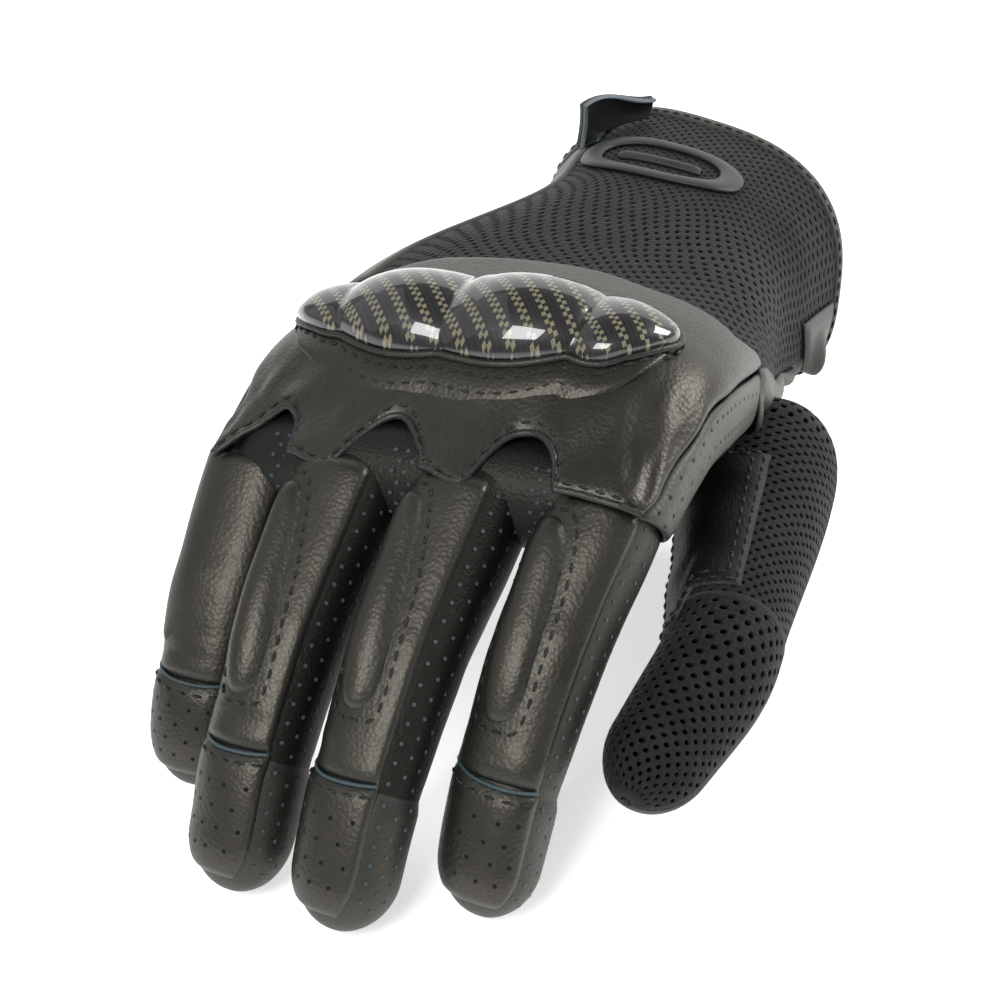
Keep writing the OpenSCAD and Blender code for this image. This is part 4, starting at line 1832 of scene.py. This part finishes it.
        def ring(share: float) -> tuple[Vector, Vector]:
            """The stitched row, once round the rib."""
            turn = share * 2 * math.pi
            v = 0.5 - 0.53 * math.cos(turn)
            s = mix(low, high, v)
            middle = 90 + mix(*self.rib_turn, min(max(v, 0), 1))
            out = signed_power(math.sin(turn), 0.35)
            phi = middle + math.degrees((self.rib_half + self.ring_gap) / form.reach(s)[0]) * out
            return form.facing(s, phi, 0.6, 1.6)

        thread.sew(ring, 300)
        seam = thread.build(w.thread, Slot.LEATHER)
        for piece in (pad, seam):
            self.hinge(piece)
        return [pad, seam]


# ---------------------------------------------------------------- thumb


@dataclass
class ThumbForm(Limb):
    """The thumb's round form about its two joints."""

    bones: Skeleton
    root_radius: float = 15.5
    middle_radius: float = 10.8
    end_radius: float = 9.0
    tip_length: float = 33.0
    bend_reach: float = 10.0
    tip_round: float = 11.0
    base_start: float = -19.6
    base_round: float = 20.0
    step: float = 0.5
    power: float = 2.2
    tip_turn: float = 4.0

    def __post_init__(self) -> None:
        """Measures the thumb from its joints and lays out its centre line."""
        root, tip = self.bones.place("thumb_root_joint") / MM, self.bones.place("thumb_tip_joint") / MM
        self.up = self.bones.axis("thumb_root_joint")
        self.base = (tip - root).length
        self.length = self.base + self.tip_length
        self.heading = (tip - root).normalized()
        self.end_side = self.bones.axis("thumb_tip_joint")
        low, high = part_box("thumb_tip_cap")
        self.end_heading = self.tip_heading((low + high) / 2 / MM, tip)
        self.lay_line(root)

    def tip_heading(self, middle: Vector, tip: Vector) -> Vector:
        """The way the tip points: towards the middle of its cap, square to its axis.

        Args:
            middle: The middle of the tip's cap.
            tip: The tip joint's place.

        Returns:
            The unit vector.
        """
        away = middle - tip
        away -= self.end_side * away.dot(self.end_side)
        turned = Matrix.Rotation(math.radians(self.tip_turn), 3, self.end_side) @ away.normalized()
        return turned.normalized()

    def ahead(self, s: float) -> Vector:
        """The way the thumb points at s."""
        share = smooth_step((s - self.base + self.bend_reach) / (2 * self.bend_reach))
        return self.heading.slerp(self.end_heading, share).normalized()

    def radius(self, s: float) -> float:
        """The thumb's radius at s.

        Args:
            s: Millimetres from the root joint.

        Returns:
            The radius, in millimetres.
        """
        stops = ((0.0, self.root_radius), (self.base, self.middle_radius), (self.length, self.end_radius))
        wide = through(stops, s)
        if s < 0:
            return wide * math.sqrt(max(1 - (s / self.base_round) ** 2, 0.0))
        over = self.past_round(s)
        return wide * math.sqrt(max(1 - over * over, 0.0)) if over > 0 else wide

    def point(self, s: float, phi: float, lift: float = 0.0) -> Vector:
        """A point on the thumb, in metres, raised by lift millimetres.

        Args:
            s: Millimetres from the root joint.
            phi: Angle round, in degrees.
            lift: Millimetres off the skin.

        Returns:
            The point.
        """
        ahead = self.ahead(s)
        side = ahead.cross(self.up).normalized() * -1
        over = side.cross(ahead).normalized()
        if over.dot(self.up) < 0:
            over = -over
        a = math.radians(phi)
        raised, forward = self.lifted(s, lift)
        radius = self.radius(s) + raised
        across = signed_power(math.cos(a), 2 / self.power) * radius
        rise = signed_power(math.sin(a), 2 / self.power) * radius
        return (self.centre(s) + side * across + over * rise + ahead * forward) * MM


@dataclass
class Thumb:
    """The thumb: mesh back, leather palm and patch, and its tip."""

    form: ThumbForm
    wardrobe: Wardrobe
    patch_start: float = 12.0
    patch_ends: tuple[float, float] = (57.0, 67.0)
    patch_turn: tuple[float, float] = (80.0, 178.0)
    patch_size: tuple[float, float] = (26.0, 48.0)
    patch_rows: tuple[float, float] = (1.4, 3.2)
    base_span: tuple[float, float] = (-12.0, 8.0)
    tip_reach: float = 9.0
    split_before: float = 8.0

    @property
    def split(self) -> float:
        """s of the seam between the thumb's base and its tip."""
        return self.form.base - self.split_before

    def base_blend(self, piece: Piece) -> None:
        """Bakes the piece's transform into its mesh; a piece of the thumb's base is not bent from the hand to
        the thumb.
        """
        start, end = (self.form.centre(s) * MM for s in self.base_span)
        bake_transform(piece)
        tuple(start)
        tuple(end)

    def tip_blend(self, piece: Piece) -> None:
        """Bakes the piece's transform into its mesh; it is not bent across the thumb's tip joint.

        Args:
            piece: The piece.
        """
        form = self.form
        start, end = (form.centre(form.base + way * self.tip_reach) * MM for way in (-1, 1))
        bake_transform(piece)
        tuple(start)
        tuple(end)

    def build(self) -> list[Piece]:
        """Makes every piece of the thumb.

        Returns:
            The pieces.
        """
        form, w = self.form, self.wardrobe

        def along(v: float) -> float:
            """s at a share of the base's length."""
            return round_rooted(v, form.base_start, self.split + 0.5)

        def tube(u: float, v: float, lift: float) -> Vector:
            """The closed tube from the round root to the tip."""
            return form.point(along(v), u * 360, lift)

        inner = Panel(
            "thumb_inner_lining", tube, (48, 40), (90, 70), wall=0, lift=-1.3, roll=0, rolled=UNROLLED,
            closed=True, smooth=0,
        ).build(w.lining, Slot.LINING)
        self.base_blend(inner)
        knit = KnitPanel(
            "thumb_mesh", lambda u, v, lift: form.point(along(v), mix(-12, 128, u), lift), (22, 50),
            (38, 86), wall=0.5, lift=0.0, roll=0, smooth=0,
        ).build(w.knit, Slot.MESH)
        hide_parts("thumb_back")
        self.base_blend(knit)
        under = Panel(
            "thumb_palm_leather", lambda u, v, lift: form.point(along(v), mix(124, 350, u), lift),
            (44, 60), (54, 86), lift=0.2,
        )
        palm = under.build(w.side_leather, Slot.LEATHER)
        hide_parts("thumb_palm")
        self.base_blend(palm)

        def patch_surface(u: float, v: float, lift: float) -> Vector:
            """The patch's surface, cut off at one corner and stepped at its end."""
            end = mix(*self.patch_ends, smooth_step((u - 0.42) / 0.2))
            corner = 9.0 * max(0.0, 0.35 - v) * (1 - u)
            return form.point(mix(self.patch_start + corner, end, v), mix(*self.patch_turn, u), lift)

        def creases(u: float, v: float) -> float:
            """The patch's soft unevenness."""
            return 0.7 * noise.noise(Vector((u * 2.5, v * 5.0, 2.0)))

        wide, long = self.patch_size
        sheet = Panel(
            "thumb_patch_leather", patch_surface, (36, 50), (wide, long), lift=1.1, roll=0.9, relief=creases
        )
        patch = sheet.build(w.side_leather, Slot.LEATHER)
        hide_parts("thumb_patch")
        thread = Stitching("thumb_patch_stitches")
        for near in self.patch_rows:
            for u in (near / wide, 1 - near / wide):
                thread.sew(lambda s, u=u, n=near: sheet.spot(u, mix(n / long, 1 - n / long, s)))
            for v in (near / long, 1 - near / long):
                thread.sew(lambda s, v=v, n=near: sheet.spot(mix(n / wide, 1 - n / wide, s), v))
        seam = thread.build(w.thread, Slot.LEATHER)
        self.tip_blend(patch)
        self.tip_blend(seam)
        return [inner, knit, palm, patch, seam] + self.tip()

    def tip(self) -> list[Piece]:
        """The thumb's tip: mesh above, leather below.

        Returns:
            The pieces.
        """
        form, w, split = self.form, self.wardrobe, self.split

        def shell(u: float, v: float, lift: float) -> Vector:
            """The closed end, from the seam to the very tip."""
            return form.point(mix(split - 0.5, form.length, math.sin(v * math.pi / 2)), u * 360, lift)

        inner = Panel(
            "thumb_tip_lining", shell, (48, 36), (60, 48), wall=0, lift=-1.2, roll=0, rolled=UNROLLED,
            closed=True, smooth=0,
        ).build(w.lining, Slot.LINING)

        def top(u: float, v: float, lift: float) -> Vector:
            """The tip's upper side, to its very end."""
            place = mix(split - 1.0, form.length - 0.1, 1 - (1 - v) ** 1.25)
            return form.point(place, mix(-14, 186, u), lift)

        knit = KnitPanel("thumb_tip_mesh", top, (24, 30), (36, 46), wall=0.5, lift=0.35, roll=0, smooth=0)
        upper = knit.build(w.knit, Slot.MESH)
        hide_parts("thumb_tip_cap")

        def below(u: float, v: float, lift: float) -> Vector:
            """The tip's lower side."""
            return form.point(mix(split, form.length, math.sin(v * math.pi / 2)), mix(184, 348, u), lift)

        under = Panel("thumb_tip_leather", below, (40, 30), (40, 48), wall=0.8, lift=0.3)
        palm = under.build(w.side_leather, Slot.LEATHER)
        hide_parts("thumb_tip_wrap")
        made = [inner, upper, palm]
        for piece in made:
            self.tip_blend(piece)
        return made


# ---------------------------------------------------------------- cuff


@dataclass
class Cuff:
    """The cuff: underside, bound rim, badge, gusset, folded tab, strap and pull tab."""

    skin: HandSkin
    bend: WristBend
    wardrobe: Wardrobe
    rim_t: float = 5.93
    mm_per_t: float = 26.0
    binding_half: float = 3.2
    binding_thick: float = 1.5
    pleat_count: int = 11
    badge_turn: tuple[float, float] = (72, 120)
    badge_middle: float = 4.66
    badge_half: float = 0.4
    badge_band: float = 0.34
    bar_t: tuple[float, float] = (4.56, 4.7)
    gusset_t: tuple[float, float] = (2.85, 4.75)
    tab_t: tuple[float, float] = (4.75, 5.72)
    tab_turn: tuple[float, float] = (-27, -1)
    tab_point: float = 0.42
    strap_t: tuple[float, float] = (5.08, 5.72)
    strap_turn: tuple[float, float] = (123, 223)
    flap_t: tuple[float, float] = (5.0, 5.62)
    flap_turn: tuple[float, float] = (134, 107)
    flap_height: tuple[float, float] = (11.5, 5.0)

    def build(self) -> list[Piece]:
        """Makes every piece of the cuff."""
        return self.underside() + self.binding() + self.badge() + self.gusset() + self.tab() + self.strap()

    def underside(self) -> list[Piece]:
        """The cuff's underside, with soft pleats towards the rim.

        Returns:
            The pieces.
        """

        def pleats(u: float, v: float) -> float:
            """Pleats that rise towards the rim."""
            return 0.35 * math.sin(u * 2 * math.pi * self.pleat_count) * smooth_step(v * 2)

        sheet = Panel(
            "cuff_underside_cloth", self.skin.patch(3.95, self.rim_t, 176, 345), (110, 40), (104, 56),
            relief=pleats, roll=0.4,
        )
        piece = sheet.build(self.wardrobe.suede, Slot.SUEDE)
        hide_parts("cuff_underside")
        self.bend.join(piece)
        return [piece]

    def binding(self) -> list[Piece]:
        """The band folded over the rim and sewn down.

        Returns:
            The pieces.
        """
        skin = self.skin

        def surface(u: float, v: float, lift: float) -> Vector:
            """The band's surface: u goes round the cuff and v round the band."""
            turn = v * 2 * math.pi
            t = self.rim_t + (self.binding_half / self.mm_per_t) * signed_power(math.cos(turn), 0.7)
            rise = -0.5 + (self.binding_thick + lift) * signed_power(math.sin(turn), 0.7)
            return skin.point(t, u * 360, rise)

        band = Panel(
            "cuff_rim_binding", surface, (120, 16), (230, 14), wall=0, roll=0, rolled=UNROLLED, closed=True
        )
        piece = band.build(self.wardrobe.binding, Slot.RUBBER)
        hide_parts("cuff_binding")
        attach(piece, "cuff")
        thread = Stitching("cuff_rim_stitches", thickness=0.28)

        def row(share: float) -> tuple[Vector, Vector]:
            """The stitched row, once round the cuff."""
            angle = share * 360
            t = self.rim_t - 2.0 / self.mm_per_t
            here = skin.point(t, angle, self.binding_thick - 0.55)
            return here, (skin.point(t, angle, 2.0) - here).normalized()

        thread.sew(row, 400)
        seam = thread.build(self.wardrobe.thread, Slot.LEATHER)
        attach(seam, "cuff")
        return [piece, seam]

    def badge(self) -> list[Piece]:
        """A plain moulded badge: an open rounded ring with one bar across it.

        Returns:
            The pieces.
        """

        def ring_place(u: float, v: float, lift: float) -> Vector:
            """The ring's surface: u goes round it and v across its band."""
            turn = u * 2 * math.pi
            across, along = math.cos(turn), math.sin(turn)
            reach = 1 + (v - 0.5) * self.badge_band
            t = self.badge_middle + self.badge_half * signed_power(along, 0.8) * reach
            share = 0.5 + 0.5 * signed_power(across, 0.8) * reach
            return self.skin.point(t, self.skin.even(*self.badge_turn, share), lift)

        def bead(u: float, v: float) -> float:
            """A rounded top across the band."""
            return 0.7 * math.sin(math.pi * v) ** 0.6

        ring = Panel(
            "cuff_badge_ring", ring_place, (96, 10), (70, 3.4), wall=0.9, lift=0.9, roll=0.0,
            rolled=(False, False, True, True), relief=bead, closed=True,
        )
        piece = ring.build(self.wardrobe.badge, Slot.RUBBER)
        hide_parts("cuff_badge")

        def bar_place(u: float, v: float, lift: float) -> Vector:
            """The bar's surface."""
            angle = self.skin.even(*self.badge_turn, mix(0.2, 0.8, u))
            return self.skin.point(mix(*self.bar_t, v), angle, lift)

        bar = Panel("cuff_badge_bar", bar_place, (30, 8), (20, 4), wall=0.9, lift=1.0, roll=0.5, relief=bead)
        middle = bar.build(self.wardrobe.badge, Slot.RUBBER)
        for part in (piece, middle):
            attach(part, "cuff")
        return [piece, middle]

    def gusset(self) -> list[Piece]:
        """The folded leather gusset between the cuff and the thumb.

        Returns:
            The pieces.
        """

        def folds(u: float, v: float) -> float:
            """Slanting folds, level at the sides."""
            phase = (v * 2.6 + u * 1.1) * math.pi
            return 1.6 * abs(math.sin(phase)) ** 0.7 * math.sin(math.pi * min(max(u, 0.02), 0.98)) ** 0.4

        def place(u: float, v: float, lift: float) -> Vector:
            """The gusset's surface, up to the mesh."""
            t = mix(*self.gusset_t, v)
            return self.skin.point(t, mix(-38, self.skin.thumb_edge(t) + 1, u), lift)

        sheet = Panel("wrist_gusset_leather", place, (30, 70), (24, 50), lift=0.8, relief=folds)
        piece = sheet.build(self.wardrobe.strip_leather, Slot.LEATHER)
        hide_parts("wrist_gusset")
        self.bend.join(piece)
        return [piece]

    def tab(self) -> list[Piece]:
        """The small folded leather tab on the thumb side.

        Returns:
            The pieces.
        """

        def place(u: float, v: float, lift: float) -> Vector:
            """The tab's surface, pointed at one end."""
            point = self.tab_point * (1 - u)
            t = mix(self.tab_t[0] + point, self.tab_t[1] - point * 0.6, v)
            return self.skin.point(t, mix(*self.tab_turn, u), lift)

        def fold(u: float, v: float) -> float:
            """One raised fold that runs along the tab."""
            crease = abs(v - 0.45 - 0.25 * (u - 0.5))
            return 1.2 + 3.0 * math.exp(-((crease / 0.2) ** 2)) * math.sin(math.pi * min(u + 0.15, 1.0))

        sheet = Panel("cuff_folded_tab", place, (30, 28), (18, 18), wall=1.2, lift=0.6, roll=0.9, relief=fold)
        piece = sheet.build(self.wardrobe.trim_leather, Slot.LEATHER)
        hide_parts("side_tab")
        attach(piece, "cuff")
        return [piece]

    def strap(self) -> list[Piece]:
        """The closing strap round the underside and its standing pull tab.

        Returns:
            The pieces.
        """
        skin, w = self.skin, self.wardrobe
        way = skin.patch(*self.strap_t, *self.strap_turn)
        band = Panel("closing_strap", way, (60, 14), (66, 17), lift=1.9, wall=1.3, roll=0.7)
        strap = band.build(w.trim_leather, Slot.LEATHER)
        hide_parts("wrist_strap")

        def flap(u: float, v: float, lift: float) -> Vector:
            """The flap, standing up from the strap with a bow in it."""
            foot = skin.point(mix(*self.flap_t, u), mix(*self.flap_turn, u), 0.9)
            height = mix(*self.flap_height, smooth_step(u)) * v
            bow = 1.2 * math.sin(math.pi * v) + 1.0 * math.sin(5.0 * u)
            return foot + Vector((1.4 * v - 0.3 * lift, bow - 0.9 * lift, height + 0.2 * lift)) * MM

        sheet = Panel("strap_pull_flap", flap, (26, 18), (18, 10), wall=1.6, roll=0.2)
        tab = sheet.build(w.trim_leather, Slot.LEATHER)
        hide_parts("strap_pull_tab")

        def border(share: float) -> tuple[Vector, Vector]:
            """The flap's free edge: up one end, then along its top."""
            u, v = (0.0, share / 0.35) if share < 0.35 else ((share - 0.35) / 0.65, 1.0)
            here = flap(u, v, -0.8)
            return here, (here - flap(0.6, 0.3, -0.8)).normalized()

        edge = Piping("strap_pull_edge", border, 0.7, 0.55)
        trim = edge.build(w.pale_edge, Slot.LEATHER)
        thread = Stitching("strap_stitches")
        for v in (0.12, 0.88):
            thread.sew(lambda s, v=v: band.spot(mix(0.02, 0.98, s), v))
        seam = thread.build(w.thread, Slot.LEATHER)
        made = [strap, tab, trim, seam]
        for piece in made:
            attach(piece, "strap")
        return made


# ---------------------------------------------------------------- the studio


@dataclass(frozen=True)
class Lamp:
    """A soft oblong light that faces a target; metres and watts."""

    name: str
    place: Place
    target: Place
    size: tuple[float, float]
    power: float

    def hang(self) -> None:
        """Puts the light in the scene."""
        lamp = bpy.data.lights.new(self.name, "AREA")
        lamp.shape = "RECTANGLE"
        lamp.size, lamp.size_y = self.size
        lamp.energy = self.power
        holder = bpy.data.objects.new(self.name, lamp)
        holder.location = self.place
        holder.rotation_mode = "QUATERNION"
        holder.rotation_quaternion = (Vector(self.target) - Vector(self.place)).to_track_quat("-Z", "Y")
        bpy.context.scene.collection.objects.link(holder)


@dataclass
class Studio:
    """A pale floor, soft lights and the camera."""

    camera_place: Place = (0.1452, -0.3657, 0.2972)
    right: Place = (0.925, 0.3777, -0.0527)
    up: Place = (-0.177, 0.5479, 0.8172)
    back: Place = (0.337, -0.747, 0.573)
    lens: float = 81.5
    sensor: float = 36.0
    world_strength: float = 0.22
    floor_glow: float = 0.6
    floor_drop: float = 0.0005
    floor_reach: float = 4.0
    lamps: tuple[Lamp, ...] = (
        Lamp("rear_panel", (-0.35, 1.15, 0.65), (0, 0.1, 0.3), (2.6, 1.3), 13.0),
        Lamp("front_window", (-0.06, -0.6, 0.63), (0, 0, 0.06), (0.34, 0.42), 5.0),
        Lamp("right_rear_box", (0.6, 0.36, 0.55), (0, 0, 0.04), (0.34, 0.34), 6.0),
        Lamp("left_fill", (-0.7, -0.2, 0.6), (0, 0, 0.04), (1.0, 1.0), 1.4),
    )

    def build(self) -> None:
        """Sets up the floor, lights, world and camera."""
        self.floor()
        for lamp in self.lamps:
            lamp.hang()
        world = bpy.data.worlds.new("studio")
        world.use_nodes = True
        sky = world.node_tree.nodes["Background"]
        sky.inputs["Color"].default_value = (1, 1, 1, 1)
        sky.inputs["Strength"].default_value = self.world_strength
        bpy.context.scene.world = world
        bpy.context.scene.view_settings.view_transform = "Standard"
        self.camera()

    def floor(self) -> None:
        """A wide pale floor at the height the glove rests on."""
        form = bmesh.new()
        bmesh.ops.create_grid(form, x_segments=1, y_segments=1, size=self.floor_reach)
        bmesh.ops.translate(form, verts=form.verts[:], vec=(0, 0, -self.floor_drop))
        board = NodeBoard("studio_floor")
        tone = board.blend(board.clouds(300.0), (0.9, 0.9, 0.9), (0.93, 0.93, 0.93))
        board.shader.inputs["Emission Color"].default_value = (1, 1, 1, 1)
        board.shine(Emission_Strength=self.floor_glow)
        grain = board.bump(board.clouds(2.0), 0.01, 0.05)
        new_piece("studio_floor", form, board.close(tone, 0.9, grain))

    def camera(self) -> None:
        """Stands the camera."""
        lens = bpy.data.cameras.new("camera")
        lens.lens = self.lens
        lens.sensor_width = self.sensor
        lens.clip_start = 0.01
        holder = bpy.data.objects.new("camera", lens)
        turn = Matrix((self.right, self.up, self.back)).transposed().to_4x4()
        holder.matrix_world = Matrix.Translation(self.camera_place) @ turn
        bpy.context.scene.collection.objects.link(holder)
        bpy.context.scene.camera = holder


def build_fingers(bones: Skeleton, wardrobe: Wardrobe) -> list[Finger]:
    """The four fingers, each with its own seams and rib.

    Args:
        bones: The joints' places.
        wardrobe: The finishes.

    Returns:
        The four fingers.
    """
    form = FingerForm("index", bones, 0.97)
    index = Finger(form, wardrobe, 28, 158, (20, 10), (3.5, 41.0), outer_wall=True)
    middle = Finger(FingerForm("middle", bones, 1.0), wardrobe, 56, 172, (33, 14), (3.0, 44.0))
    ring = Finger(FingerForm("ring", bones, 0.98), wardrobe, 55, 172, (36, 16), (4.0, 44.5))
    little = Finger(FingerForm("little", bones, 0.92), wardrobe, 40, 170, suede_end=36.0)
    return [index, middle, ring, little]


def main() -> None:
    """Builds the glove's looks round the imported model."""
    logging.basicConfig(level=logging.INFO)
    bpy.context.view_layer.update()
    Studio().build()
    bones = Skeleton()
    wardrobe = Wardrobe()
    skin = HandSkin(bones)
    bend = WristBend(skin)
    parts = [HandShell(skin, bend, wardrobe), KnuckleGuard(skin, wardrobe), *build_fingers(bones, wardrobe)]
    parts += [Thumb(ThumbForm(bones), wardrobe), Cuff(skin, bend, wardrobe)]
    for part in parts:
        for piece in part.build():
            LOG.info("%s: %d faces", piece.name, len(piece.data.polygons))


if __name__ == "__main__":
    main()
